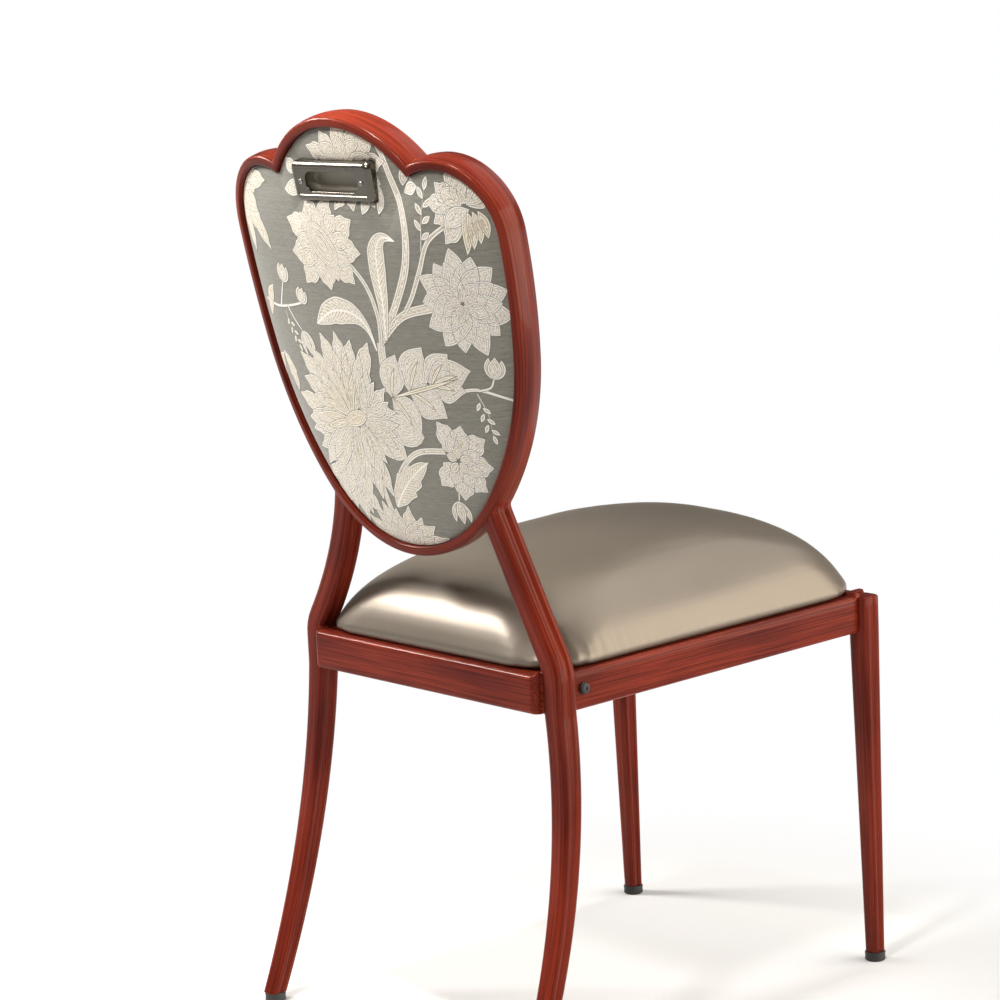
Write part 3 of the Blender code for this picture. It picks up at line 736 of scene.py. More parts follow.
@dataclass(frozen=True)
class Trefoil:
    """Outline of the hoop's inner edge: a deep bowl, two side lobes and a crown."""

    top: float = 0.3555
    half_width: float = 0.2035
    side_radius: float = 0.720
    side_turn: float = radians(10.0)
    haunch_radius: float = 0.310
    haunch_turn: float = radians(41.6)
    lobe_radius: float = 0.070
    lobe_top: float = 0.3115
    cusp_spacing: float = 0.208

    def outline(self, fineness: float) -> list[Outward]:
        """Walk round the outline anticlockwise from the bottom.

        Args:
            fineness: Steps for each radian of turn, before rounding.

        Returns:
            Points as u, v and their outward direction, with the first one repeated at the end.
        """
        lobe = (self.half_width - self.lobe_radius, self.lobe_top - self.lobe_radius)
        side = (self.half_width - self.side_radius, lobe[1])
        step = self.side_radius - self.haunch_radius
        haunch = (side[0] + step * cos(self.side_turn), side[1] - step * sin(self.side_turn))
        step = -haunch[0] / cos(self.haunch_turn)
        bottom = (0.0, haunch[1] - step * sin(self.haunch_turn))
        cusp_u = self.cusp_spacing / 2
        cusp_turn = acos((cusp_u - lobe[0]) / self.lobe_radius)
        cusp_v = lobe[1] + self.lobe_radius * sin(cusp_turn)
        drop = self.top - cusp_v
        crown_radius = (cusp_u ** 2 + drop ** 2) / (2 * drop)
        crown = (0.0, self.top - crown_radius)
        crown_turn = atan2(cusp_v - crown[1], cusp_u)

        def run(centre: Pair, radius: float, start: float, end: float) -> list[Outward]:
            """One arc with as many steps as its length asks for."""
            length = sqrt(radius / self.lobe_radius)
            steps = max(2, round(abs(end - start) * fineness * length))
            return arc(centre, radius, start, end, steps)

        half = run(bottom, self.haunch_radius - step, -pi / 2, -self.haunch_turn)
        half += run(haunch, self.haunch_radius, -self.haunch_turn, -self.side_turn)[1:]
        half += run(side, self.side_radius, -self.side_turn, 0.0)[1:]
        half += run(lobe, self.lobe_radius, 0.0, cusp_turn)[1:-1]
        mitre = Vector((cos(cusp_turn) + cos(crown_turn), sin(cusp_turn) + sin(crown_turn)))
        mitre.normalize()
        mitre /= mitre.x * cos(cusp_turn) + mitre.y * sin(cusp_turn)
        half.append((cusp_u, cusp_v, mitre.x, mitre.y))
        half += run(crown, crown_radius, crown_turn, pi / 2)[1:]
        return half + [(-u, v, -out_u, out_v) for u, v, out_u, out_v in half[-2::-1]]


@dataclass
class Hoop:
    """The bent tube round the back: flat rims, round shoulders and a domed outer side."""

    back: BackFrame
    shape: Trefoil
    finish: Material
    depth: float = 0.036
    inner_round: float = 0.0020
    rim: float = 0.0068
    shoulder: float = 0.0034
    bulge: float = 0.0018
    bulge_rows: int = 6
    fineness: float = 26.0
    measure_fineness: float = 80.0
    loop: np.ndarray = field(init=False)

    def __post_init__(self) -> None:
        """Keep a fine copy of the outline for measuring."""
        self.loop = np.array(self.shape.outline(self.measure_fineness))

    def outside(self, n: float) -> float:
        """How far the tube reaches outwards at a depth.

        Args:
            n: Depth forward of the rear face.

        Returns:
            The outward distance from the inner edge.
        """
        near = min(max(0.0, n), max(0.0, self.depth - n))
        if near < self.shoulder:
            return self.rim + sqrt(self.shoulder ** 2 - (self.shoulder - near) ** 2)
        half = self.depth / 2 - self.shoulder
        return self.rim + self.shoulder + self.bulge * (1 - ((n - self.depth / 2) / half) ** 2)

    def section(self) -> list[Pair]:
        """Walk round the tube's section.

        Returns:
            Points as outward and forward distances, with the first one repeated at the end.
        """
        half = [(0.0, self.depth / 2), (0.0, self.depth / 4)]
        half += bend((self.inner_round, self.inner_round), self.inner_round, pi, 3 * pi / 2, 4)
        half += [(self.rim / 2, 0.0)]
        half += bend((self.rim, self.shoulder), self.shoulder, -pi / 2, 0.0, 6)
        for i in range(1, self.bulge_rows + 1):
            n = self.shoulder + (self.depth / 2 - self.shoulder) * i / self.bulge_rows
            half.append((self.outside(n), n))
        return half + [(w, self.depth - n) for w, n in half[-2::-1]]

    def clearance(self, spot: Vector) -> tuple[float, Vector, float]:
        """Measure from the outer side of the tube.

        Args:
            spot: A point in the chair's frame.

        Returns:
            The distance outside the tube, the outward direction, and the depth n.
        """
        u, v, n = self.back.locate(spot)
        away = self.loop[:, :2] - (u, v)
        near = int(np.argmin((away ** 2).sum(axis=1)))
        out_u, out_v = self.loop[near, 2:]
        outward = -(away[near, 0] * out_u + away[near, 1] * out_v)
        way = Vector((out_u, 0.0, 0.0)) + self.back.up * float(out_v)
        return outward - self.outside(n), way, n

    def build(self) -> None:
        """Sweep the section round the outline."""
        ring = self.shape.outline(self.fineness)
        section = self.section()
        lengths = [0.0]
        for first, second in zip(ring, ring[1:]):
            lengths.append(lengths[-1] + hypot(second[0] - first[0], second[1] - first[1]))
        skin = Skin("grain")

        def place(a: float, b: float) -> Laid:
            """A point of the tube."""
            u, v, out_u, out_v = pick(ring, b)
            w, n = pick(section, a)
            along = pick(lengths, b)
            spot = self.back.point(u + out_u * w, v + out_v * w, n)
            return spot, (Vector((w, n, min(along, lengths[-1] - along))),)

        skin.lay(len(section) - 1, len(ring) - 1, place)
        skin.fit("hoop_tube", self.finish, "back_hoop")


@dataclass(frozen=True)
class TubeSection:
    """Section of the leg tube: a rounded rectangle with a flute down its outer and inner faces."""

    width: float
    depth: float
    radius: float = 0.0075
    flute: float = 0.0022
    corner_steps: int = 7
    side_steps: int = 10

    def loop(self) -> list[Pair]:
        """Walk round the section, with the first point repeated at the end."""
        points = []
        hollow = self.depth / 2 - self.radius
        for x, y in rounded_loop(self.width, self.depth, self.radius, self.corner_steps,
                                 self.side_steps):
            if abs(y) < hollow:
                x -= (1 if x > 0 else -1) * self.flute * cos(pi * y / (2 * hollow)) ** 2
            points.append((x, y))
        return points


class TubePath:
    """A run of stations along the middle line of a tube."""

    def __init__(self, centres: Sequence[Vector], ways: Sequence[Vector],
                 scales: Sequence[float]) -> None:
        """Measure the run.

        Args:
            centres: Points of the middle line.
            ways: Direction that each section is square to.
            scales: Size of each section.
        """
        self.table = np.array([(*centre, *way.normalized(), scale)
                               for centre, way, scale in zip(centres, ways, scales)])
        steps = np.linalg.norm(np.diff(self.table[:, :3], axis=0), axis=1)
        self.lengths = np.concatenate(([0.0], np.cumsum(steps)))

    def spot(self, length: float, x: float, y: float) -> Vector:
        """Place a point of the section.

        Args:
            length: Distance along the run.
            x: First coordinate on the section, across the chair.
            y: Second coordinate on the section.

        Returns:
            The point in the chair's frame.
        """
        row = [float(np.interp(length, self.lengths, column)) for column in self.table.T]
        way = Vector(row[3:6]).normalized()
        across = Vector((1.0, 0.0, 0.0))
        across = (across - way * way.x).normalized()
        return Vector(row[:3]) + (across * x + way.cross(across) * y) * row[6]


@dataclass
class RearTube:
    """One bent tube: a sabre leg below the seat, and a leaning post welded to the hoop."""

    seat: SeatFrameSizes
    hoop: Hoop
    section: TubeSection
    finish: Material
    foot_scale: float = 0.78
    foot_sweep: float = 0.078
    foot_splay: float = 0.019
    post_height: float = 0.165
    post_top_x: float = 0.114
    post_top_setback: float = 0.012
    post_bow: float = 0.007
    post_lean: float = 0.005
    into_hoop: float = 0.024
    knee_round: float = 0.010
    weld: float = 0.0065
    weld_sink: float = 0.0004
    weld_margin: float = 0.0015
    weld_rounds: int = 3
    search_step: float = 0.0015
    search_from: float = 0.08
    leg_stations: int = 40
    knee_stations: int = 12
    post_stations: int = 80
    lower_rows: int = 70
    post_rows: int = 44
    weld_rows: int = 7

    @property
    def knee_z(self) -> float:
        """Height where the leg turns into the post."""
        inward = self.seat.rear_leg_x - self.post_top_x
        lean = atan2(inward + 4 * self.post_bow, self.post_height)
        return self.seat.rail_top + self.seat.tube_width / 2 * tan(lean / 2) + self.seat.gap

    def post(self, rise: float) -> Vector:
        """A point of the post's middle line, from 0 at the knee to 1 at the hoop."""
        bow = 4 * rise * (1 - rise)
        inward = self.seat.rear_leg_x - self.post_top_x
        backward = self.seat.leg_setback - self.post_top_setback
        return Vector((self.seat.rear_leg_x - inward * rise - self.post_bow * bow,
                       self.seat.rear_leg_y + backward * rise - self.post_lean * bow,
                       self.knee_z + self.post_height * rise))

    def path(self) -> TubePath:
        """Join the sabre leg, the upright part, the knee and the post in one run."""
        seat = self.seat
        up = Vector((0.0, 0.0, 1.0))
        stations: list[tuple[Vector, Vector, float]] = []
        for i in range(self.leg_stations + 1):
            fall = 1 - i / self.leg_stations
            centre = Vector((seat.rear_leg_x + self.foot_splay * fall * (2 - fall),
                             seat.rear_leg_y + self.foot_sweep * fall ** 2,
                             seat.rail_bottom + (seat.foot_z - seat.rail_bottom) * fall))
            stations.append((centre, up, 1 + (self.foot_scale - 1) * fall))
        knee = self.post(0.0)
        below = knee - up * self.knee_round
        above = self.post(self.knee_round / self.post_height)
        for i in range(self.knee_stations + 1):
            t = i / self.knee_stations
            way = (knee - below) * (1 - t) + (above - knee) * t
            stations.append((rounded(below, knee, above, t), way, 1.0))
        start = self.knee_round / self.post_height
        end = 1 + self.into_hoop / self.post_height
        near = 0.01
        for i in range(1, self.post_stations + 1):
            rise = start + (end - start) * i / self.post_stations
            stations.append((self.post(rise), self.post(rise + near) - self.post(rise - near), 1.0))
        return TubePath(*zip(*stations))

    def entry(self, path: TubePath, x: float, y: float, start: float) -> float:
        """Find where one line of the post enters the hoop.

        Args:
            path: The tube's run.
            x: First coordinate of the line on the section.
            y: Second coordinate of the line on the section.
            start: Length to search from.

        Returns:
            The length at which the line meets the hoop's outer side.
        """
        last_gap, last = self.hoop.clearance(path.spot(start, x, y))[0], start
        for length in np.arange(start, float(path.lengths[-1]), self.search_step):
            gap = self.hoop.clearance(path.spot(float(length), x, y))[0]
            if gap <= 0:
                share = last_gap / (last_gap - gap) if last_gap > gap else 0.0
                return last + (float(length) - last) * share
            last_gap, last = gap, float(length)
        return float(path.lengths[-1])

    def build(self, side: Side) -> None:
        """Skin the tube on one side of the chair and flare its weld onto the hoop."""
        path = self.path()
        loop = self.section.loop()
        middle = float(path.lengths[self.leg_stations + self.knee_stations + 1])
        entries = [self.entry(path, x, y, middle + self.search_from) for x, y in loop]
        rows = self.lower_rows + self.post_rows + self.weld_rows
        skin = Skin("grain")

        def place(a: float, b: float) -> Laid:
            """A point of the tube, or of the weld at its top."""
            column, row = round(a * (len(loop) - 1)), round(b * rows)
            x, y = loop[column]
            weld_start = entries[column] - self.weld
            if row <= self.lower_rows:
                length = middle * row / self.lower_rows
            else:
                share = min(1.0, (row - self.lower_rows) / self.post_rows)
                length = middle + (weld_start - middle) * share
            spot = path.spot(length, x, y)
            if row > self.lower_rows + self.post_rows:
                t = (row - self.lower_rows - self.post_rows) / self.weld_rows
                corner = path.spot(entries[column], x, y)
                spot = rounded(spot, corner, self.weld_foot(path, entries[column], x, y), t)
                length += self.weld * t
            spot.x *= side.value
            return spot, (Vector((x, y, length)),)

        skin.lay(len(loop) - 1, rows, place)
        skin.fit("rear_tube_" + side.word, self.finish, "rear_leg_" + side.word)

    def weld_foot(self, path: TubePath, length: float, x: float, y: float) -> Vector:
        """Where the weld of one line runs out on the hoop.

        Args:
            path: The tube's run.
            length: Where the line enters the hoop.
            x: First coordinate of the line on the section.
            y: Second coordinate of the line on the section.

        Returns:
            A point just inside the hoop's outer side.
        """
        grow = 1 + self.weld / hypot(x, y)
        foot = path.spot(length, x * grow, y * grow)
        for _ in range(self.weld_rounds):
            gap, way, n = self.hoop.clearance(foot)
            foot -= way * (gap + self.weld_sink)
            kept = min(max(n, self.weld_margin), self.hoop.depth - self.weld_margin)
            foot += self.hoop.back.forward * (kept - n)
        return foot


@dataclass
class FrontLeg:
    """A straight tapered front leg with a round-edged top."""

    seat: SeatFrameSizes
    section: TubeSection
    finish: Material
    foot_scale: float = 0.64
    foot_splay: float = 0.004
    top_round: float = 0.003
    rows: int = 36
    top_rows: int = 4

    def build(self, side: Side) -> None:
        """Skin the leg from the foot to its top."""
        seat = self.seat
        rise = seat.lift(seat.front_leg_y + seat.tube_depth / 2)
        shoulder = seat.rail_bottom + rise
        top = seat.rail_top + rise
        loop = self.section.loop()
        rows = self.rows + self.top_rows
        skin = Skin("grain")

        def place(a: float, b: float) -> Laid:
            """A point of the leg."""
            x, y = pick(loop, a)
            row = round(b * rows)
            if row < self.rows:
                z = seat.foot_z + (top - self.top_round - seat.foot_z) * row / self.rows
                shrink = 0.0
            else:
                turn = (row - self.rows) / self.top_rows * pi / 2
                z = top - self.top_round * (1 - sin(turn))
                shrink = self.top_round * (1 - cos(turn))
            fall = max(0.0, (shoulder - z) / (shoulder - seat.foot_z))
            scale = 1 + (self.foot_scale - 1) * fall - shrink / (seat.tube_width / 2)
            spot = Vector((side.value * (seat.front_leg_x + x * scale),
                           seat.front_leg_y - self.foot_splay * fall + y * scale, z))
            return spot, (Vector((x, y, z)),)

        skin.lay(len(loop) - 1, rows, place)
        skin.fit("front_tube_" + side.word, self.finish, "front_leg_" + side.word)


@dataclass
class SeatRails:
    """The four rails of the seat frame, welded between the legs."""

    seat: SeatFrameSizes
    finish: Material
    edge: float = 0.004
    into_leg: float = 0.004
    return_depth: float = 0.0085
    return_length: float = 0.0075
    end_length: float = 0.0120
    weld_rise: float = 0.004
    rows: int = 60
    end_rows: int = 15

    def bar(self, name: str, node: str, start: Vector, end: Vector, face: float) -> None:
        """Sweep one rail.

        Args:
            name: Name of the piece.
            node: The CAD node that it stands for.
            start: First end of the middle line at the rail's mid height.
            end: Last end of the middle line.
            face: How far the outer face turns in at both ends.
        """
        seat = self.seat
        run = end - start
        outward = Vector((run.y, -run.x, 0.0)).normalized()
        loop = rounded_loop(seat.rail_thickness, seat.rail_height, self.edge, 5, 4)
        skin = Skin("grain")

        def place(a: float, b: float) -> Laid:
            """A point of the rail."""
            across, up = pick(loop, a)
            near, close = self.end_rows, self.end_length
            row = round(b * self.rows)
            if row <= near:
                along = close * row / near
            elif row >= self.rows - near:
                along = run.length - close * (self.rows - row) / near
            else:
                along = close + (run.length - 2 * close) * (row - near) / (self.rows - 2 * near)
            to_end = min(along, run.length - along) - self.into_leg
            share = min(1.0, max(0.0, 1 - to_end / self.return_length))
            turn_in = face * (1 - sqrt(1 - share ** 2))
            half = seat.rail_thickness / 2
            across = -half + (across + half) * (1 - turn_in / seat.rail_thickness)
            rise = self.weld_rise * smooth(0.4, 1.0, share)
            rise *= smooth(0.6, 1.0, up / (seat.rail_height / 2))
            spot = start + run.normalized() * along + outward * across
            spot.z += up + rise + seat.lift(spot.y)
            return spot, (Vector((across, up, along)),)

        skin.lay(len(loop) - 1, self.rows, place)
        skin.fit(name, self.finish, node)

    def build(self) -> None:
        """Lay the rails between the legs."""
        seat = self.seat
        z = seat.rail_top - seat.rail_height / 2
        half = seat.rail_thickness / 2
        reach = seat.rear_leg_x - seat.tube_width / 2 + self.into_leg
        y = seat.rear_face_y - half
        self.bar("rail_rear", "rear_rail", Vector((reach, y, z)), Vector((-reach, y, z)),
                 self.return_depth)
        reach = seat.front_leg_x - seat.tube_width / 2 + self.into_leg
        y = seat.front_face_y + half
        self.bar("rail_front", "front_rail", Vector((-reach, y, z)), Vector((reach, y, z)), 0.0)
        front = seat.front_leg_y + seat.tube_depth / 2 - self.into_leg
        rear = seat.rear_leg_y - seat.tube_depth / 2 + self.into_leg
        for side in Side:
            x = side.value * (seat.side_rail_x - half)
            ends = [Vector((x, front, z)), Vector((x, rear, z))]
            if side is Side.RIGHT:
                ends.reverse()
            self.bar("rail_side_" + side.word, "side_rail_" + side.word, *ends, 0.0)


@dataclass(frozen=True)
class HandleSizes:
    """Place and size of the pull, shared by its plate and the cloth that tucks under it."""

    up: float = 0.301
    length: float = 0.124
    width: float = 0.042


@dataclass
class PadSurface:
    """Shape of the stretched rear cloth: a low crown that rolls into the hoop and under the handle."""

    back: BackFrame
    shape: Trefoil
    pull: HandleSizes
    fineness: float = 34.0
    middle: float = 0.130
    clearance: float = 0.0008
    edge: float = 0.0055
    roll: float = 0.0078
    roll_power: float = 9.0
    crown: float = 0.0085
    handle_floor: float = 0.0105
    floor_start: float = -0.001
    floor_end: float = -0.004
    tuck: float = 0.0048
    tuck_reach: float = 0.011
    angles: np.ndarray = field(init=False)
    reach: np.ndarray = field(init=False)
    rim: list[Pair] = field(init=False)

    def __post_init__(self) -> None:
        """Tabulate how far the outline lies from the middle in each direction."""
        self.rim = [(u - out_u * self.clearance, v - out_v * self.clearance)
                    for u, v, out_u, out_v in self.shape.outline(self.fineness)]
        table = sorted((atan2(v - self.middle, u), hypot(u, v - self.middle))
                       for u, v in self.rim[:-1])
        first, last = table[0], table[-1]
        table = [(last[0] - 2 * pi, last[1])] + table + [(first[0] + 2 * pi, first[1])]
        self.angles, self.reach = np.array(table).T

    def share(self, u: float, v: float) -> float:
        """How far out a point lies, from 0 in the middle to 1 at the outline."""
        angle = atan2(v - self.middle, u)
        return hypot(u, v - self.middle) / float(np.interp(angle, self.angles, self.reach))

    def depth(self, u: float, v: float) -> float:
        """Depth of the cloth.

        Args:
            u: Distance across.
            v: Distance up the slope.

        Returns:
            The distance forward of the hoop's rear face.
        """
        share = min(1.0, self.share(u, v))
        n = self.edge - self.roll * (1 - share ** self.roll_power) - self.crown * (1 - share ** 2)
        outside = max(abs(u) - self.pull.length / 2, abs(v - self.pull.up) - self.pull.width / 2)
        n += self.tuck * exp(-max(0.0, outside) / self.tuck_reach)
        return n + (self.handle_floor - n) * smooth(self.floor_start, self.floor_end, outside)

    def spot(self, u: float, v: float, lift: float) -> Vector:
        """Place a point on the cloth, lifted off it by a small height."""
        share = self.share(u, v)
        if share > 1.0:
            scale = 1 / share
            u, v = u * scale, self.middle + (v - self.middle) * scale
        return self.back.point(u, v, self.depth(u, v) - lift)


@dataclass
class BackPads:
    """The cloth-covered pads of the back: floral at the rear, plain on the sitter's side."""

    back: BackFrame
    surface: PadSurface
    ground: Material
    satin: Material
    rings: int = 80
    wall_rings: int = 4
    ring_crowding: float = 1.5
    weld: float = 5e-6
    crisp: float = radians(70)
    fill: float = 0.8
    rear_base: float = 0.0122
    front_base: float = 0.0208
    front_edge: float = 0.0300
    front_crown: float = 0.0180
    front_power: float = 5.0

    def pad(self, base: float, depth: Callable[[float, float, float], float]) -> Skin:
        """Skin a pad in rings that open from its middle to the outline and close behind.

        Args:
            base: Depth of its flat side.
            depth: Gives the depth of its full side for u, v and the share of the way out.

        Returns:
            The closed skin.
        """
        rim, middle = self.surface.rim, self.surface.middle
        rows = self.rings + self.wall_rings
        skin = Skin("cloth")

        def place(a: float, b: float) -> Laid:
            """A point of the pad."""
            u, v = pick(rim, a)
            row = b * rows
            share = min(1.0, row / self.rings)
            share = 1 - (1 - share) ** self.ring_crowding
            u, v = u * share, middle + (v - middle) * share
            n = depth(u, v, share)
            if row > self.rings:
                n += (base - n) * (row - self.rings) / self.wall_rings
            return self.back.point(u, v, n), (Vector((u, v, 0.0)),)

        skin.lay(len(rim) - 1, rows, place)
        skin.close(self.weld)
        return skin

    def build(self) -> None:
        """Make both pads."""
        rear = self.pad(self.rear_base, lambda u, v, share: self.surface.depth(u, v))
        install(rear.done("pad_rear_cloth", self.ground, self.crisp),
                ("back_pad_rear",))

        def front_depth(u: float, v: float, share: float) -> float:
            """Depth of the plain pad."""
            return self.front_edge + self.front_crown * (1 - share ** self.front_power)

        front = self.pad(self.front_base, front_depth)
        install(front.done("pad_front_cloth", self.satin, self.crisp),
                ("back_pad_front",))


class Layer(Enum):
    """Height of a woven motif above the ground cloth, in hundredths of a millimetre."""

    STEM = 18
    LEAF = 24
    OUTER = 30
    MIDDLE = 36
    INNER = 42
    HEART = 48
    CORE = 54


class Stitch(Enum):
    """How the threads inside a motif run: along its outline, or out from a middle vein."""

    ECHO = 0.0
    VEIN = 1.0


@dataclass
class FlowerWeave:
    """Woven flowers, leaves and stems, each petal a thin ribbon on the rear cloth.

    Places are millimetres: p to the right as seen from behind, and v up the slope.
    """

    surface: PadSurface
    finish: Material
    thickness: float = 0.0004
    step_apart: float = 1e-7
    seed_step: float = 0.37
    look_ahead: float = 0.02
    tooth: float = 0.30
    slide: float = 8.0
    crisp: float = radians(60)
    skin: Skin = field(init=False)
    count: int = 0

    def __post_init__(self) -> None:
        """Start the shared mesh of all ribbons."""
        self.skin = Skin("thread", "petal")

    def ribbon(self, steps: int, spine: Callable[[float], Pair], half: Callable[[float], float],
               layer: Layer, tone: float, stitch: Stitch = Stitch.ECHO) -> None:
        """Lay one ribbon on the cloth.

        Args:
            steps: Faces along the ribbon.
            spine: Gives its middle line, in millimetres, from 0 to 1.
            half: Gives its half width along the same way.
            layer: Its height above the cloth.
            tone: How warm its threads are, from 0 to 1.
            stitch: How its threads run.
        """
        self.count += 1
        seed = self.count * self.seed_step
        length = hypot(spine(1.0)[0] - spine(0.0)[0], spine(1.0)[1] - spine(0.0)[1])

        def place(a: float, b: float) -> Laid:
            """A point of the ribbon."""
            across = 2 * a - 1
            p, v = spine(b)
            before = spine(max(0.0, b - self.look_ahead))
            after = spine(min(1.0, b + self.look_ahead))
            way = (after[0] - before[0], after[1] - before[1])
            size = hypot(*way) or 1.0
            wide = half(b)
            p -= way[1] / size * wide * across
            v += way[0] / size * wide * across
            share = min(1.0, self.surface.share(-p * MM, v * MM))
            u = -(p + self.slide * (1 - share ** 2)) * MM
            lift = layer.value * MM / 100 + self.count * self.step_apart
            spot = self.surface.spot(u, v * MM, lift)
            edge = wide * (1 - abs(across)) * MM
            return spot, (Vector((wide * across * MM, length * b * MM, edge)),
                          Vector((tone, seed, stitch.value)))

        self.skin.lay(4, steps, place)

    def petal(self, base: Pair, tip: Pair, width: float, layer: Layer, tone: float = 0.3,
              bend: float = 0.0, fullness: float = 0.5, teeth: int = 0,
              stitch: Stitch = Stitch.ECHO) -> None:
        """Draw a pointed petal or leaf.

        Args:
            base: Where it starts.
            tip: Where it ends.
            width: Its greatest width.
            layer: Its height above the cloth.
            tone: How warm its threads are.
            bend: Sideways bow of its middle line, as a share of its length.
            fullness: Where it is widest, from 0 at the base to 1 at the tip.
            teeth: Number of teeth along each edge.
            stitch: How its threads run.
        """
        run = (tip[0] - base[0], tip[1] - base[1])
        rise = 1.1
        fall = rise * (1 - fullness) / fullness
        peak = fullness ** rise * (1 - fullness) ** fall

        def spine(t: float) -> Pair:
            """The bowed middle line."""
            bow = bend * 4 * t * (1 - t)
            return base[0] + run[0] * t - run[1] * bow, base[1] + run[1] * t + run[0] * bow

        def half(t: float) -> float:
            """Half the width at a share of the length."""
            t = min(0.999, max(0.001, t * 0.97 + 0.03))
            size = width / 2 * t ** rise * (1 - t) ** fall / peak
            if teeth:
                size *= 1 - self.tooth * (1 - (teeth + 0.5) * t % 1.0) * smooth(0.15, 0.4, t)
            return size

        self.ribbon(max(12, teeth * 6), spine, half, layer, tone, stitch)

    def oval(self, middle: Pair, long_half: float, short_half: float, angle: float, layer: Layer,
             tone: float = 0.4) -> None:
        """Draw the oval heart of a flower."""
        self.ribbon(16, lambda t: beyond(middle, angle, long_half * (2 * t - 1)),
                    lambda t: short_half * sqrt(max(0.0, 1 - (2 * t - 1) ** 2)), layer, tone)

    def blade(self, points: Sequence[Pair], widths: Sequence[float], layer: Layer = Layer.STEM,
              tone: float = 0.35, stitch: Stitch = Stitch.ECHO) -> None:
        """Draw a stem or a long leaf on a smooth curve through a few points.

        Args:
            points: Places that its middle line passes.
            widths: Its widths at even steps along the curve.
            layer: Its height above the cloth.
            tone: How warm its threads are.
            stitch: How its threads run.
        """
        table = np.array([points[0], *points, points[-1]], float)
        spans = len(points) - 1
        marks = np.linspace(0.0, 1.0, len(widths))

        def spine(t: float) -> Pair:
            """A point of the curve."""
            i = min(spans - 1, int(t * spans))
            s = t * spans - i
            a, b, c, d = table[i:i + 4]
            spot = 0.5 * (2 * b + (c - a) * s + (2 * a - 5 * b + 4 * c - d) * s ** 2
                          + (3 * b - a - 3 * c + d) * s ** 3)
            return float(spot[0]), float(spot[1])

        self.ribbon(10 * spans, spine, lambda t: float(np.interp(t, marks, widths)) / 2, layer, tone,
                    stitch)

    def ring(self, middle: Pair, count: int, reach: float, width: float, layer: Layer,
             turn: float = 0.0, spread: float = 2 * pi, tone: float = 0.3, start: float = 0.12,
             teeth: int = 0, squeeze: float = 1.0, fullness: float = 0.5) -> None:
        """Draw petals that open from one middle.

        Args:
            middle: Middle of the flower.
            count: Number of petals.
            reach: Length of a petal from the middle.
            width: Width of a petal.
            layer: Height above the cloth.
            turn: Angle of the first petal.
            spread: Angle that the petals fill.
            tone: How warm the threads are.
            start: Where a petal starts, as a share of its reach.
            teeth: Teeth along each edge.
            squeeze: Scale of the flower across the panel.
            fullness: Where a petal is widest.
        """
        gaps = count if spread == 2 * pi else max(1, count - 1)
        for i in range(count):
            angle = turn + spread * i / gaps
            far = reach * (1 + 0.07 * sin(2.7 * i + turn))
            tip = (middle[0] + far * cos(angle) * squeeze, middle[1] + far * sin(angle))
            self.petal(between(middle, tip, start), tip, width, layer, tone, 0.05 * sin(1.9 * i),
                       fullness, teeth)

    def sprig(self, points: Sequence[Pair], pairs: int, size: float, tone: float = 0.3) -> None:
        """Draw a thin stem with small leaves in pairs."""
        self.blade(points, (2.4, 1.6), tone=tone)
        first, last = points[0], points[-1]
        way = atan2(last[1] - first[1], last[0] - first[0])
        opening, bare = 0.75, 0.2
        for i in range(2 * pairs):
            place = between(first, last, bare + (1 - bare) * i / (2 * pairs))
            turn = way + (opening if i % 2 else -opening)
            self.petal(place, beyond(place, turn, size), size / 2, Layer.LEAF, tone)
        self.petal(last, beyond(last, way, size), size / 2, Layer.LEAF, tone)

    def bud(self, foot: Pair, tip: Pair, width: float, tone: float = 0.3) -> None:
        """Draw a closed bud: a full petal between two narrow ones."""
        run = (tip[0] - foot[0], tip[1] - foot[1])
        for sway in (0.28, -0.28):
            near = between(foot, tip, 0.92)
            end = (near[0] - run[1] * sway, near[1] + run[0] * sway)
            self.petal(foot, end, width * 0.55, Layer.OUTER, tone, sway / 2)
        self.petal(foot, tip, width * 0.8, Layer.MIDDLE, tone, 0.0, 0.45)

    def stems(self) -> None:
        """Draw the branching stems that carry the flowers."""
        fan = (24.0, 136.0)
        for widths, *points in (
                ((12.0, 12.0), (20, 84), (21, 112), fan),
                ((9.0, 11.0, 9.0, 7.0), fan, (58, 178), (84, 223), (91, 272), (78, 312), (66, 336)),
                ((8.0, 11.0, 13.0), fan, (62, 165), (104, 175), (130, 178)),
                ((5.0, 7.0, 6.0), fan, (72, 174), (98, 210), (118, 242), (150, 260)),
                ((6.0, 7.0, 5.5), fan, (28, 165), (18, 198), (-8, 226)),
                ((4.4, 3.6), (-178, 166), (-150, 162), (-118, 166), (-96, 171)),
                ((3.6, 3.0), (-142, 163), (-134, 178), (-126, 192)),
                ((3.4, 2.6), (-128, 165), (-118, 150), (-106, 138)),
                ((5.0, 3.6), (120, 88), (142, 90), (164, 84), (196, 70)),
                ((3.4, 3.0), (146, 89), (160, 92), (166, 102)),
                ((7.0, 8.0, 9.0), (-34, 20), (-24, -10), (-18, -46), (-8, -80)),
                ((6.0, 7.5, 8.0), (-6, -40), (12, -4), (44, 20), (84, 24)),
                ((3.0, 2.6), (90, -12), (90, -22), (87, -32))):
            self.blade(points, widths)
        self.sprig([(107, 232), (114, 260), (124, 292)], 3, 15.0)
        self.sprig([(142, 86), (150, 64), (150, 42)], 3, 12.0)
        self.sprig([(-134, 158), (-130, 140), (-120, 124)], 3, 10.0, 0.6)

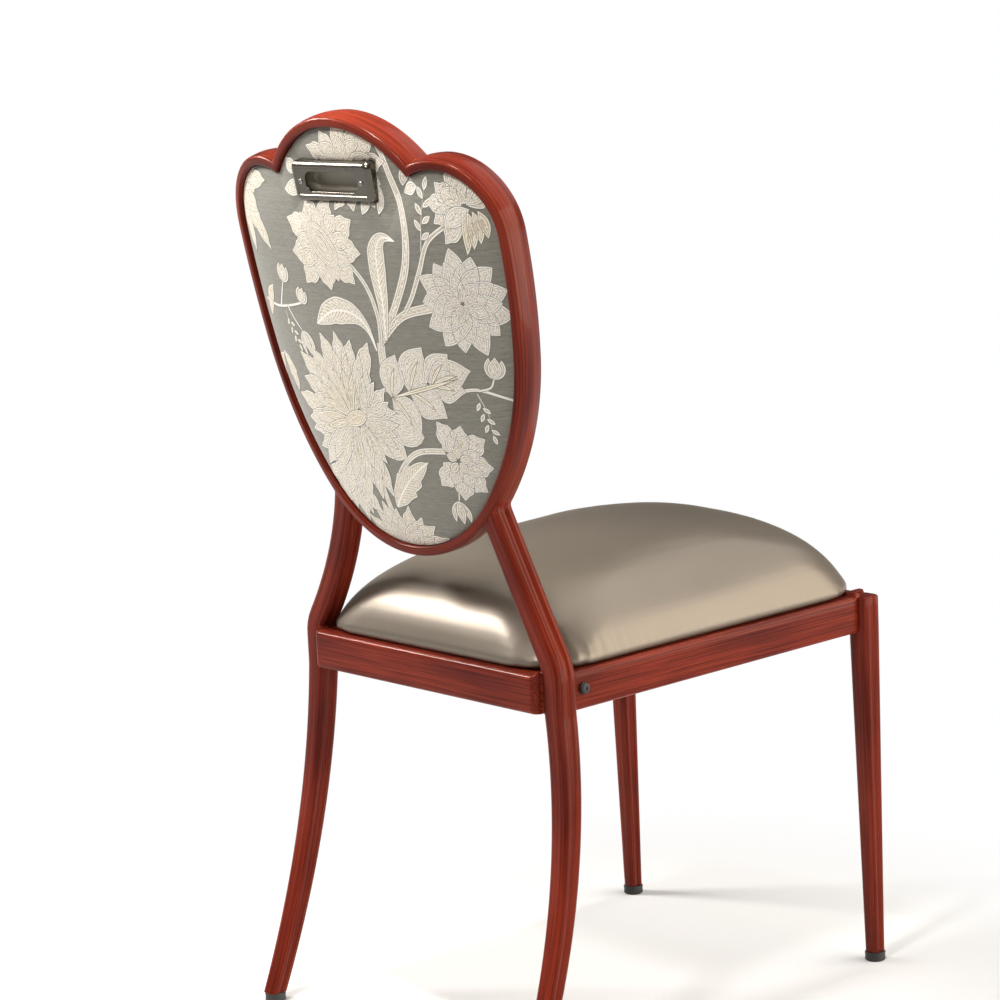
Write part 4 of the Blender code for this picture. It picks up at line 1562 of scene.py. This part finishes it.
    def leaves(self) -> None:
        """Draw the larger leaves."""
        self.blade([(33, 142), (39, 176), (41, 208), (45, 234), (57, 246), (75, 242)],
                   (6.0, 13.0, 20.0, 25.0, 25.0, 17.0, 9.0, 0.5), Layer.LEAF, 0.45, Stitch.VEIN)
        self.blade([(16, 128), (8, 152), (-12, 166), (-44, 166), (-76, 150)],
                   (3.0, 6.0, 14.0, 25.0, 31.0, 24.0, 0.5), Layer.LEAF, 0.35, Stitch.VEIN)
        root, end = (20.0, 78.0), (124.0, 102.0)
        for share, tip, width in ((0.62, (129, 87), 36.0), (0.62, (115, 128), 36.0),
                                  (0.60, (141, 110), 38.0), (0.32, (98, 59), 40.0),
                                  (0.32, (82, 135), 42.0), (0.05, (56, 36), 40.0),
                                  (0.05, (42, 126), 36.0)):
            base = between(root, end, share)
            self.petal(base, tip, width, Layer.OUTER, 0.18, 0.06, 0.46)
            self.petal(base, between(base, tip, 0.7), 5.0, Layer.MIDDLE, 1.0, 0.06)
        self.petal(root, end, 5.5, Layer.INNER, 1.0)
        self.petal((-6, -44), (60, 12), 36.0, Layer.LEAF, 0.45, 0.06, 0.46, 4, Stitch.VEIN)
        self.petal((-196, 60), (-164, 108), 24.0, Layer.LEAF, 0.7, 0.1, teeth=3)
        self.petal((-172, 148), (-150, 186), 17.0, Layer.LEAF, 0.6, 0.1, teeth=2)
        self.petal((-164, 110), (-146, 66), 20.0, Layer.LEAF, 0.7, 0.1, teeth=3)

    def blossoms(self) -> None:
        """Draw the flowers and buds."""
        daisy = (147.0, 179.0)
        self.ring(daisy, 13, 54.0, 27.0, Layer.OUTER, 0.2, tone=0.04, fullness=0.52)
        self.ring(daisy, 13, 43.0, 22.0, Layer.MIDDLE, 0.44, tone=0.10, fullness=0.52)
        self.ring(daisy, 11, 30.0, 17.0, Layer.INNER, 0.1, tone=0.14)
        self.ring(daisy, 7, 16.0, 12.0, Layer.HEART, 0.3, tone=0.30)
        oval = (-38.0, 236.0)
        self.ring(oval, 9, 51.0, 33.0, Layer.OUTER, 0.55, tone=0.42, start=0.2, teeth=2, squeeze=1.2)
        self.ring(oval, 9, 40.0, 25.0, Layer.MIDDLE, 0.20, tone=0.50, start=0.2, teeth=2, squeeze=1.15)
        for long_half, short_half, layer in ((29.0, 16.0, Layer.INNER), (21.0, 10.5, Layer.HEART),
                                             (12.0, 5.5, Layer.CORE)):
            self.oval(oval, long_half, short_half, 2.32, layer, 0.65)
        cup = (170.0, 274.0)
        self.ring(cup, 8, 45.0, 26.0, Layer.OUTER, 0.4, 3.6, tone=0.25, start=0.1, teeth=2)
        self.ring(cup, 6, 31.0, 20.0, Layer.MIDDLE, 0.7, 3.0, tone=0.40)
        self.petal((144, 256), (176, 272), 20.0, Layer.INNER, 0.2, 0.05)
        for i in range(4):
            self.petal((166 + 6 * i, 270), (164 + 9 * i, 226 + 5 * i), 12.0, Layer.INNER, 0.85, 0.08)
        self.peony()
        low = (100.0, 14.0)
        self.ring(low, 7, 44.0, 31.0, Layer.OUTER, -2.4, 4.4, tone=0.10, teeth=2)
        self.ring(low, 6, 31.0, 22.0, Layer.MIDDLE, -2.0, 3.8, tone=0.18, teeth=2)
        self.ring(low, 5, 17.0, 11.0, Layer.INNER, 0.2, tone=0.5)
        foot = (-10.0, -104.0)
        self.ring(foot, 10, 64.0, 27.0, Layer.OUTER, 0.45, 2.5, tone=0.50, teeth=2, squeeze=1.15)
        self.ring(foot, 8, 46.0, 21.0, Layer.MIDDLE, 0.6, 2.2, tone=0.40, squeeze=1.15)
        crown = (16.0, 316.0)
        self.ring(crown, 12, 48.0, 27.0, Layer.OUTER, 0.1, tone=0.50, teeth=2, squeeze=1.25)
        self.ring(crown, 9, 33.0, 20.0, Layer.MIDDLE, 0.3, tone=0.60, squeeze=1.25)
        for base, tip, width in (((60, 300), (57, 268), 15.0), ((40, 292), (33, 268), 15.0),
                                 ((-58, 300), (-92, 290), 18.0), ((-64, 310), (-86, 322), 16.0),
                                 ((96, 296), (104, 318), 13.0), ((98, 290), (116, 296), 14.0)):
            self.petal(base, tip, width, Layer.MIDDLE, 0.25, 0.08)
        for tip, width in (((-136, 222), 26.0), ((-152, 262), 32.0), ((-128, 296), 28.0),
                           ((-176, 216), 24.0), ((-150, 312), 24.0)):
            self.petal((-196, 284), tip, width, Layer.OUTER, 0.6, 0.06, teeth=3)
        for sprout, tip, width in (((-126, 190), (-120, 212), 19.0), ((-98, 170), (-90, 188), 19.0),
                                   ((-108, 140), (-96, 112), 14.0), ((166, 100), (172, 124), 21.0),
                                   ((87, -30), (85, -60), 15.0)):
            self.bud(sprout, tip, width)

    def peony(self) -> None:
        """Draw the large flower at the left, with its long striped lower petals."""
        heart = (-46.0, 50.0)
        self.ring(heart, 9, 94.0, 29.0, Layer.OUTER, 3.40, 1.75, tone=0.30, start=0.1, teeth=2)
        self.petal((0, 66), (60, 38), 38.0, Layer.OUTER, 0.2, -0.08, 0.58)
        self.petal((-16, 60), (28, 14), 36.0, Layer.OUTER, 0.2, -0.08, 0.58)
        self.ring(heart, 8, 72.0, 17.0, Layer.MIDDLE, 3.45, 1.65, tone=0.45, start=0.1)
        self.ring(heart, 9, 95.0, 31.0, Layer.OUTER, 1.05, 2.2, tone=0.40, start=0.1, teeth=3,
                  fullness=0.54)
        self.ring(heart, 8, 76.0, 23.0, Layer.MIDDLE, 1.15, 2.0, tone=0.50, start=0.1, teeth=3)
        self.ring(heart, 9, 56.0, 10.0, Layer.INNER, 1.0, 2.4, tone=0.95, start=0.1)
        self.ring((-30.0, 54.0), 7, 56.0, 21.0, Layer.INNER, -0.1, 1.5, tone=0.25, start=0.02, teeth=2)
        self.ring((-34.0, 50.0), 7, 58.0, 17.0, Layer.INNER, -1.5, 1.5, tone=0.40, start=0.02)
        self.ring((-74.0, -6.0), 7, 62.0, 25.0, Layer.LEAF, 3.5, 1.9, tone=0.35, start=0.1, teeth=2)
        self.oval((2.0, 64.0), 15.0, 9.0, 0.4, Layer.OUTER, 0.4)
        self.oval((-41.0, 51.0), 19.0, 9.0, 0.3, Layer.CORE, 0.9)

    def build(self) -> None:
        """Draw every motif and give the ribbons their thickness."""
        self.stems()
        self.leaves()
        self.blossoms()
        bm = self.skin.bm
        rearward = -self.surface.back.forward
        for face in bm.faces:
            face.normal_update()
            if face.normal.dot(rearward) < 0:
                face.normal_flip()
        bmesh.ops.solidify(bm, geom=bm.faces[:], thickness=self.thickness)
        bmesh.ops.recalc_face_normals(bm, faces=bm.faces[:])
        install(self.skin.done("flower_weave", self.finish, self.crisp))


@dataclass
class SeatCushion:
    """The domed seat: drawn in at the rails, fuller towards the front, tucked round the posts."""

    seat: SeatFrameSizes
    post: RearTube
    finish: Material
    overhang: float = 0.004
    rear_reveal: float = 0.006
    front_overhang: float = 0.0084
    corner: float = 0.062
    corner_growth: float = 0.75
    crown: float = 0.0915
    draw_in: float = 0.003
    draw_height: float = 0.006
    dome_reach: float = 0.150
    dome_power: float = 3.8
    dome_round: float = 1.3
    dome_rows: int = 44
    dome_crowding: float = 1.8
    hollow: float = 0.006
    corner_steps: int = 10
    side_steps: int = 24
    front_fuller: float = 0.17
    post_clearance: float = 0.0012
    post_lean: float = 0.5
    post_slope: float = 2.2
    voxel: float = 0.005
    pressure: float = 4.0
    stretch: float = 40.0
    bending: float = 2.0
    quality: int = 6
    frames: int = 20
    most_move: float = 0.008
    even_rounds: int = 60
    even_share: float = 0.6
    held_height: float = 0.007
    shrink: float = 0.0015
    pucker_size: float = 0.00028
    pucker_height: float = 0.010
    pucker_reach: float = 0.014
    pucker_least: float = 0.15
    fill: float = 0.7

    def profile(self) -> list[Pair]:
        """Inset and height of each ring, from the underside to the middle of the top."""
        points = [(0.030, self.hollow), (0.018, self.hollow), (0.016, 0.0)]
        points += [(self.draw_in + 0.002, 0.0)]
        for i in range(1, self.dome_rows + 1):
            across = (i / self.dome_rows) ** self.dome_crowding
            height = self.crown * (1 - (1 - across) ** self.dome_power) ** (1 / self.dome_round)
            tucked = self.draw_in * exp(-(height / self.draw_height) ** 2)
            points.append((self.dome_reach * across + tucked, height))
        return points + [(0.165, self.crown), (0.180, self.crown)]

    def start(self, shrink: float) -> Piece:
        """Loft the seat's plain shape.

        Args:
            shrink: How much smaller it starts, to leave room for the swelling.

        Returns:
            The new object.
        """
        seat = self.seat
        profile = self.profile()
        half_width = seat.side_rail_x - self.overhang
        rear, front = seat.rear_face_y - self.rear_reveal, seat.front_face_y - self.front_overhang
        loops = []
        for inset, height in profile:
            inset += shrink * smooth(0.0, 0.02, height)
            radius = min(self.corner + self.corner_growth * inset, half_width - inset - seat.gap)
            loops.append(rounded_loop(2 * (half_width - inset), rear - front - 2 * inset, radius,
                                      self.corner_steps, self.side_steps))
        skin = Skin()

        def place(a: float, b: float) -> Laid:
            """A point of the seat."""
            x, y = pick(pick(loops, b), a)
            height = pick(profile, b)[1]
            height -= 2 * shrink * smooth(0.0, self.crown, height)
            height *= 1 - self.front_fuller * y / (rear - front)
            return Vector((x, y + (rear + front) / 2, seat.rail_top + seat.gap + height)), ()

        skin.lay(len(loops[0]) - 1, len(profile) - 1, place)
        skin.close()
        return skin.done("seat_cover", self.finish, radians(180))

    def bake(self, obj: Piece) -> None:
        """Apply an object's modifiers to its mesh."""
        graph = bpy.context.evaluated_depsgraph_get()
        mesh = bpy.data.meshes.new_from_object(obj.evaluated_get(graph))
        obj.modifiers.clear()
        old = obj.data
        obj.data = mesh
        bpy.data.meshes.remove(old)
        mesh.name = obj.name

    def swell(self, obj: Piece) -> None:
        """Blow the cover up as cloth held at the rails, and cap how far it moves."""
        remesh = obj.modifiers.new("even_mesh", "REMESH")
        remesh.mode = "VOXEL"
        remesh.voxel_size = self.voxel
        self.bake(obj)
        start = np.array([vert.co for vert in obj.data.vertices])
        held = obj.vertex_groups.new(name="held")
        low = start[:, 2] < self.seat.rail_top + self.held_height
        held.add(np.flatnonzero(low).tolist(), 1.0, "REPLACE")
        cloth = obj.modifiers.new("cover", "CLOTH")
        cloth.settings.quality = self.quality
        cloth.settings.vertex_group_mass = held.name
        cloth.settings.use_pressure = True
        cloth.settings.uniform_pressure_force = self.pressure
        cloth.settings.tension_stiffness = self.stretch
        cloth.settings.compression_stiffness = self.stretch
        cloth.settings.bending_stiffness = self.bending
        cloth.settings.effector_weights.gravity = 0.0
        cloth.point_cache.frame_start = 1
        cloth.point_cache.frame_end = self.frames
        scene = bpy.context.scene
        for frame in range(1, self.frames + 1):
            scene.frame_set(frame)
        self.bake(obj)
        scene.frame_set(1)
        end = np.array([vert.co for vert in obj.data.vertices])
        move = end - start
        size = np.linalg.norm(move, axis=1, keepdims=True)
        log.info("seat cover swelled by up to %.1f mm", float(size.max()) / MM)
        move *= np.minimum(1.0, self.most_move / np.maximum(size, 1e-9))
        obj.data.vertices.foreach_set("co", (start + self.even(obj, move, low)).ravel())
        obj.vertex_groups.clear()

    def even(self, obj: Piece, move: np.ndarray, held: np.ndarray) -> np.ndarray:
        """Pull the cover taut: spread each point's move over its neighbours.

        Args:
            obj: The cover.
            move: How far each point swelled.
            held: Which points are tacked down.

        Returns:
            The evened moves.
        """
        ends = np.array([edge.vertices[:] for edge in obj.data.edges])
        both = np.concatenate([ends, ends[:, ::-1]])
        count = np.bincount(both[:, 0], minlength=len(move))[:, None]
        for _ in range(self.even_rounds):
            total = np.zeros_like(move)
            np.add.at(total, both[:, 0], move[both[:, 1]])
            move = (1 - self.even_share) * move + self.even_share * total / np.maximum(count, 1)
            move[held] = 0.0
        return move

    def tuck(self, spot: Vector) -> Vector:
        """Draw a point of the cover forward round a post.

        Args:
            spot: A point of the swelled cover, before the rake.

        Returns:
            The point clear of the post.
        """
        rise = max(0.0, (spot.z - self.post.knee_z) / self.post.post_height)
        centre = self.post.post(rise)
        aside = abs(abs(spot.x) - centre.x)
        wide = self.seat.tube_width / 2 / cos(self.post_lean) + self.post_clearance
        front = centre.y - self.seat.tube_depth / 2 - self.post_clearance
        spot.y = min(spot.y, front + max(0.0, aside - wide) * self.post_slope)
        return spot

    def pucker(self, spot: Vector, normal: Vector) -> Vector:
        """Gather a point of the cover near the rails.

        Args:
            spot: A point of the cover.
            normal: Its outward direction.

        Returns:
            The gathered point.
        """
        height = spot.z - self.seat.rail_top
        fade = exp(-((height - self.pucker_height) / self.pucker_reach) ** 2)
        fade *= smooth(0.0, 0.004, height)
        along, share = spot.x, self.pucker_least
        if abs(normal.x) > abs(normal.y):
            along = spot.y
            share += (1 - self.pucker_least) * smooth(-0.02, 0.14, spot.y)
        wave = sin(310 * along) + 0.8 * sin(523 * along + 1.3) + 0.4 * sin(890 * along + 4.0)
        return spot + normal * (self.pucker_size * wave * fade * share)

    def build(self) -> None:
        """Make the seat: plain shape, swelling, then tucks, puckers and rake."""
        obj = self.start(self.shrink)
        self.swell(obj)
        fine = obj.modifiers.new("fine", "SUBSURF")
        fine.levels = fine.render_levels = 1
        self.bake(obj)
        mesh = obj.data
        ways = [vert.normal.copy() for vert in mesh.vertices]
        for vert, way in zip(mesh.vertices, ways):
            spot = self.pucker(self.tuck(vert.co.copy()), way)
            spot.z += self.seat.lift(spot.y)
            vert.co = spot
        mesh.shade_smooth()
        install(obj, ("seat_cushion",))


@dataclass
class PullHandle:
    """The cast pull in the back: round-edged bezel, dished finger recess and two cross-slot screws."""

    back: BackFrame
    pull: HandleSizes
    finish: Material
    screw_finish: Material
    proud: float = 0.0065
    seat_depth: float = 0.0115
    edge: float = 0.0062
    edge_rows: int = 8
    ledge: float = 0.0008
    ledge_slope: float = 0.0007
    sunk: float = 0.0007
    corner: float = 0.008
    face_corner: float = 0.002
    finger_length: float = 0.083
    finger_width: float = 0.0205
    finger_floor: float = 0.0090
    finger_dish: float = 0.004
    dish_rows: int = 5
    lip: float = 0.0008
    lip_rows: int = 4
    straight: float = 0.0003
    corner_steps: int = 10
    side_steps: int = 14
    crisp: float = radians(35)
    screw_x: float = 0.048
    screw_radius: float = 0.0024
    screw_steps: int = 32

    def rings(self) -> list[Ring]:
        """Length, width, corner radius and depth of each ring, from the wall to the recess floor."""
        rings = [self.bezel(0.0, self.corner, self.seat_depth)]
        for i in range(self.edge_rows + 1):
            turn = pi / 2 * (1 - i / self.edge_rows)
            corner = self.face_corner + (self.corner - self.face_corner) * sin(turn)
            rings.append(self.bezel(self.edge * (1 - sin(turn)), corner, -self.proud * cos(turn)))
        inset = self.edge + self.ledge
        rings.append(self.bezel(inset, self.face_corner, -self.proud))
        rings.append(self.bezel(inset + self.ledge_slope, self.face_corner, self.sunk - self.proud))
        for i in range(self.lip_rows + 1):
            turn = pi / 2 * i / self.lip_rows
            grow = self.lip * (1 - sin(turn))
            rings.append(self.recess(grow, self.sunk - self.proud + self.lip * (1 - cos(turn))))
        dish = self.finger_dish
        for i in range(self.dish_rows + 1):
            turn = pi / 2 * i / self.dish_rows
            depth = self.finger_floor - dish * (1 - sin(turn))
            rings.append(self.recess(-dish * (1 - cos(turn)), depth))
        return rings

    def bezel(self, inset: float, corner: float, depth: float) -> Ring:
        """One ring of the plate."""
        return self.pull.length - 2 * inset, self.pull.width - 2 * inset, corner, depth

    def recess(self, grow: float, depth: float) -> Ring:
        """One ring of the finger recess."""
        width = self.finger_width + 2 * grow
        return self.finger_length + 2 * grow, width, width / 2 - self.straight, depth

    def build(self) -> None:
        """Make the plate and its screws."""
        rings = self.rings()
        loops = [rounded_loop(length, width, corner, self.corner_steps, self.side_steps)
                 for length, width, corner, _ in rings]
        skin = Skin("dish")
        floor_rows = self.dish_rows + 1

        def place(a: float, b: float) -> Laid:
            """A point of the plate."""
            row = round(b * (len(rings) - 1))
            across, up = pick(loops[row], a)
            # Marks the recess floor, which the nickel finish paints paler as painted light.
            inside = float(row >= len(rings) - floor_rows)
            return (self.back.flat_point(across, self.pull.up + up, rings[row][3]),
                    (Vector((inside, 0.0, 0.0)),))

        skin.lay(len(loops[0]) - 1, len(rings) - 1, place)
        skin.fit("pull_plate", self.finish, "handle_plate", self.crisp)
        for side in Side:
            self.screw(side)

    def screw(self, side: Side) -> None:
        """Make one countersunk screw with a cross slot."""
        rows = [(1.0, 0.0012, False), (1.0, -0.0001, False), (0.9, -0.0004, False),
                (0.78, -0.0005, True), (0.70, 0.0006, True), (0.10, 0.0009, False)]
        middle = (side.value * self.screw_x, self.pull.up)
        skin = Skin()

        def place(a: float, b: float) -> Laid:
            """A point of the screw's head."""
            size, depth, cross = pick(rows, b)
            angle = 2 * pi * a
            if cross:
                size *= 0.42 + 0.58 * abs(cos(2 * angle)) ** 3
            u, v = beyond(middle, angle, self.screw_radius * size)
            return self.back.flat_point(u, v, depth - self.proud), ()

        skin.lay(self.screw_steps, len(rows) - 1, place)
        skin.fit("pull_screw_" + side.word, self.screw_finish,
                 "handle_screw_" + side.word)


@dataclass
class RubberFittings:
    """Foot glides under the legs and stacking bumpers on the side rails."""

    seat: SeatFrameSizes
    post: RearTube
    front: FrontLeg
    finish: Material
    glide_radius: float = 0.0115
    glide_edge: float = 0.0022
    glide_rim: float = 0.001
    stem_radius: float = 0.005
    stem_height: float = 0.004
    bumper_radius: float = 0.006
    bumper_height: float = 0.005
    bumper_edge: float = 0.0026
    bumper_sunk: float = 0.0002
    bumper_from_leg: float = 0.012
    bumper_drop: float = 0.018
    steps: int = 32

    def glide(self, name: str, x: float, y: float) -> None:
        """Turn one glide under a foot."""
        top, edge, radius = self.seat.glide_height, self.glide_edge, self.glide_radius
        stem, rim = self.stem_radius, self.glide_rim
        profile = [(0.0, top + self.stem_height), (stem, top + self.stem_height), (stem, top)]
        profile += bend((radius - rim, top - rim), rim, pi / 2, 0.0, 4)
        profile += [(radius - 0.0004, top / 2)]
        profile += bend((radius - edge, edge), edge, 0.0, -pi / 2, 6)
        profile += [(0.0, 0.0)]
        skin = Skin()
        skin.spin(profile, self.steps)
        skin.move(Matrix.Translation((x, y, 0.0)))
        skin.fit("glide_" + name, self.finish, "foot_glide_" + name)

    def bumper(self, side: Side) -> None:
        """Turn one bumper and set it on the rail's outer face."""
        seat, radius, height = self.seat, self.bumper_radius, self.bumper_height
        edge = self.bumper_edge
        profile = [(0.0, 0.0), (radius, 0.0), (radius, 0.0014)]
        profile += bend((radius - edge, height - edge), edge, 0.0, pi / 2, 6)
        profile += [(radius * 0.34, height), (radius * 0.26, height - 0.0012), (0.0, height - 0.0014)]
        skin = Skin()
        skin.spin(profile, self.steps)
        skin.move(Matrix.Rotation(side.value * pi / 2, 4, "Y"))
        y = seat.rear_leg_y - seat.tube_depth / 2 - self.bumper_from_leg
        place = Vector((side.value * (seat.side_rail_x - self.bumper_sunk), y,
                        seat.rail_top - self.bumper_drop + seat.lift(y)))
        skin.move(Matrix.Translation(place))
        name = "bumper_" + side.word
        skin.fit(name, self.finish, "stacking_" + name)

    def build(self) -> None:
        """Make the four glides and two bumpers."""
        seat = self.seat
        for side in Side:
            self.glide("rear_" + side.word, side.value * (seat.rear_leg_x + self.post.foot_splay),
                       seat.rear_leg_y + self.post.foot_sweep)
            self.glide("front_" + side.word, side.value * seat.front_leg_x,
                       seat.front_leg_y - self.front.foot_splay)
            self.bumper(side)


@dataclass
class SoftBox:
    """One soft studio lamp."""

    name: str
    place: Triple
    target: Triple
    width: float
    height: float
    power: float
    tint: Colour
    spread: float = pi

    def light(self) -> None:
        """Hang the lamp and aim it."""
        lamp = bpy.data.lights.new(self.name, "AREA")
        lamp.shape = "RECTANGLE"
        lamp.size = self.width
        lamp.size_y = self.height
        lamp.energy = self.power
        lamp.color = self.tint
        lamp.spread = self.spread
        obj = bpy.data.objects.new(self.name, lamp)
        obj.location = self.place
        aim = Vector(self.target) - Vector(self.place)
        obj.rotation_euler = aim.to_track_quat("-Z", "Y").to_euler()
        obj.visible_camera = False
        bpy.context.scene.collection.objects.link(obj)


@dataclass
class Studio:
    """Pale floor, soft lamps and the camera at the photograph's view."""

    camera_place: Triple = (-2.454928, 2.217258, 1.118363)
    yaw: float = radians(-48.935)
    pitch: float = radians(9.853)
    roll: float = radians(-2.659)
    focal_px: float = 3128.816
    picture_px: float = 1000.0
    sensor_mm: float = 36.0
    ambient: float = 0.10
    floor_half: float = 400.0
    floor_grey: Colour = (0.86, 0.86, 0.86)
    shadow_inner: float = 0.30
    shadow_outer: float = 0.75
    sight: float = 1000.0
    white: Colour = (1.0, 1.0, 1.0)
    warm: Colour = (1.0, 0.92, 0.80)
    mild: Colour = (1.0, 0.975, 0.935)
    back: Triple = (0.0, 0.15, 0.65)
    seat: Triple = (-0.05, -0.05, 0.5)
    crown: Triple = (0.0, 0.27, 0.97)

    def camera(self) -> None:
        """Set the camera by the angles fitted to the photograph."""
        ahead = cos(self.pitch)
        look = Vector((-sin(self.yaw) * ahead, -cos(self.yaw) * ahead, -sin(self.pitch)))
        level = Vector((-cos(self.yaw), sin(self.yaw), 0.0))
        above = level.cross(look)
        right = level * cos(self.roll) + above * sin(self.roll)
        above = above * cos(self.roll) - level * sin(self.roll)
        data = bpy.data.cameras.new("photo_camera")
        data.sensor_width = self.sensor_mm
        data.lens = self.focal_px / self.picture_px * self.sensor_mm
        data.clip_end = self.sight
        obj = bpy.data.objects.new("photo_camera", data)
        turn = Matrix((right, above, -look)).transposed().to_4x4()
        obj.matrix_world = Matrix.Translation(Vector(self.camera_place)) @ turn
        bpy.context.scene.collection.objects.link(obj)
        bpy.context.scene.camera = obj

    def floor(self) -> None:
        """Lay a pale floor that shows white away from the chair and keeps its shadow near it."""
        skin = Skin()
        half = self.floor_half
        skin.lay(8, 8, lambda a, b: (Vector(((2 * a - 1) * half, (2 * b - 1) * half, 0.0)), ()))
        shade = Shade("pale_floor")
        shade.dress({"Base Color": self.floor_grey, "Roughness": 0.8, "Specular IOR Level": 0.1})
        place = shade.object_place()
        away = shade.add("ShaderNodeVectorMath", {"operation": "LENGTH"}, {0: place}, 1)
        seen = shade.add("ShaderNodeLightPath", {}, {}, 0)
        glossy = shade.add("ShaderNodeLightPath", {}, {}, 3)
        through = shade.add("ShaderNodeLightPath", {}, {}, 6)
        share = (seen + glossy + through).band(0.0, 1.0)
        share = share * away.band(self.shadow_inner, self.shadow_outer)
        white = shade.add("ShaderNodeEmission", {}, {"Color": self.white, "Strength": 1.0})
        plain = Wire(shade, shade.shader.outputs[0])
        both = shade.add("ShaderNodeMixShader", {}, {0: share, 1: plain, 2: white})
        shade.feed(shade.tree.nodes["Material Output"].inputs["Surface"], both)
        skin.done("studio_floor", shade.material)

    def world(self) -> None:
        """Light the room evenly with a plain grey."""
        world = bpy.data.worlds.new("studio_room")
        bpy.context.scene.world = world
        world.use_nodes = True
        back = world.node_tree.nodes["Background"]
        back.inputs["Color"].default_value = (*self.white, 1.0)
        back.inputs["Strength"].default_value = self.ambient

    def build(self) -> None:
        """Set up the camera, floor, room and lamps."""
        bpy.context.scene.view_settings.view_transform = "Standard"
        self.camera()
        self.floor()
        self.world()
        for lamp in (
                SoftBox("left_key", (1.87, 0.98, 1.95), self.back, 0.9, 0.32, 66.0, self.mild),
                SoftBox("front_low", (-2.1, -1.40, 1.00), self.seat, 3.2, 2.0, 82.0, self.warm),
                SoftBox("top_front", (-0.5, -1.50, 2.40), self.back, 2.6, 2.0, 25.0, self.white),
                SoftBox("rear_top", (-0.75, 2.05, 2.55), self.back, 0.36, 0.36, 36.0, self.mild),
                SoftBox("crown_top", (0.05, 0.50, 2.28), self.crown, 0.4, 0.2, 1.3, self.mild,
                        radians(26.0))):
            lamp.light()


class Chair:
    """The whole chair: finishes, frame, upholstery and fittings."""

    def __init__(self, frame: dict) -> None:
        """Make the finishes once.
        """
        self.nodes = frame["nodes"]
        self.wood = MahoganyGloss().make()
        self.ground = JacquardGround().make()
        self.thread = JacquardThread().make()
        self.satin = ChampagneSatin().make()
        self.nickel = DarkNickel().make()
        self.steel = ScrewSteel().make()
        self.rubber = BlackRubber().make()
        self.kept = {
            "corner_gusset": MahoganyGloss("mahogany_gusset", GrainFrom.OBJECT).make(),
            "seat_screw": self.steel, "seat_board": RawPlywood().make(),
            "back_board": RawPlywood("raw_plywood_back").make(), "dust_cover": LiningCloth().make()}

    def dress_kept(self) -> None:
        """Give the CAD pieces that stay their finishes."""
        for name, obj in self.nodes.items():
            for start, finish in self.kept.items():
                if name.startswith(start):
                    for slot in obj.material_slots:
                        slot.material = finish
                    log.info("%s keeps its solid in %s", name, finish.name)

    def build(self) -> None:
        """Build every sub-assembly in order."""
        seat, back, shape, pull = SeatFrameSizes(), BackFrame(), Trefoil(), HandleSizes()
        section = TubeSection(seat.tube_width, seat.tube_depth)
        hoop = Hoop(back, shape, self.wood)
        hoop.build()
        rear = RearTube(seat, hoop, section, self.wood)
        front = FrontLeg(seat, section, self.wood)
        for side in Side:
            rear.build(side)
            front.build(side)
        SeatRails(seat, self.wood).build()
        surface = PadSurface(back, shape, pull)
        BackPads(back, surface, self.ground, self.satin).build()
        FlowerWeave(surface, self.thread).build()
        PullHandle(back, pull, self.nickel, self.steel).build()
        RubberFittings(seat, rear, front, self.rubber).build()
        SeatCushion(seat, rear, self.satin).build()
        self.dress_kept()


def main() -> None:
    """Load the frame, dress the chair and set up the studio."""
    logging.basicConfig(level=logging.INFO, format="%(message)s")
    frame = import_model()
    Chair(frame).build()
    Studio().build()


if __name__ == "__main__":
    main()
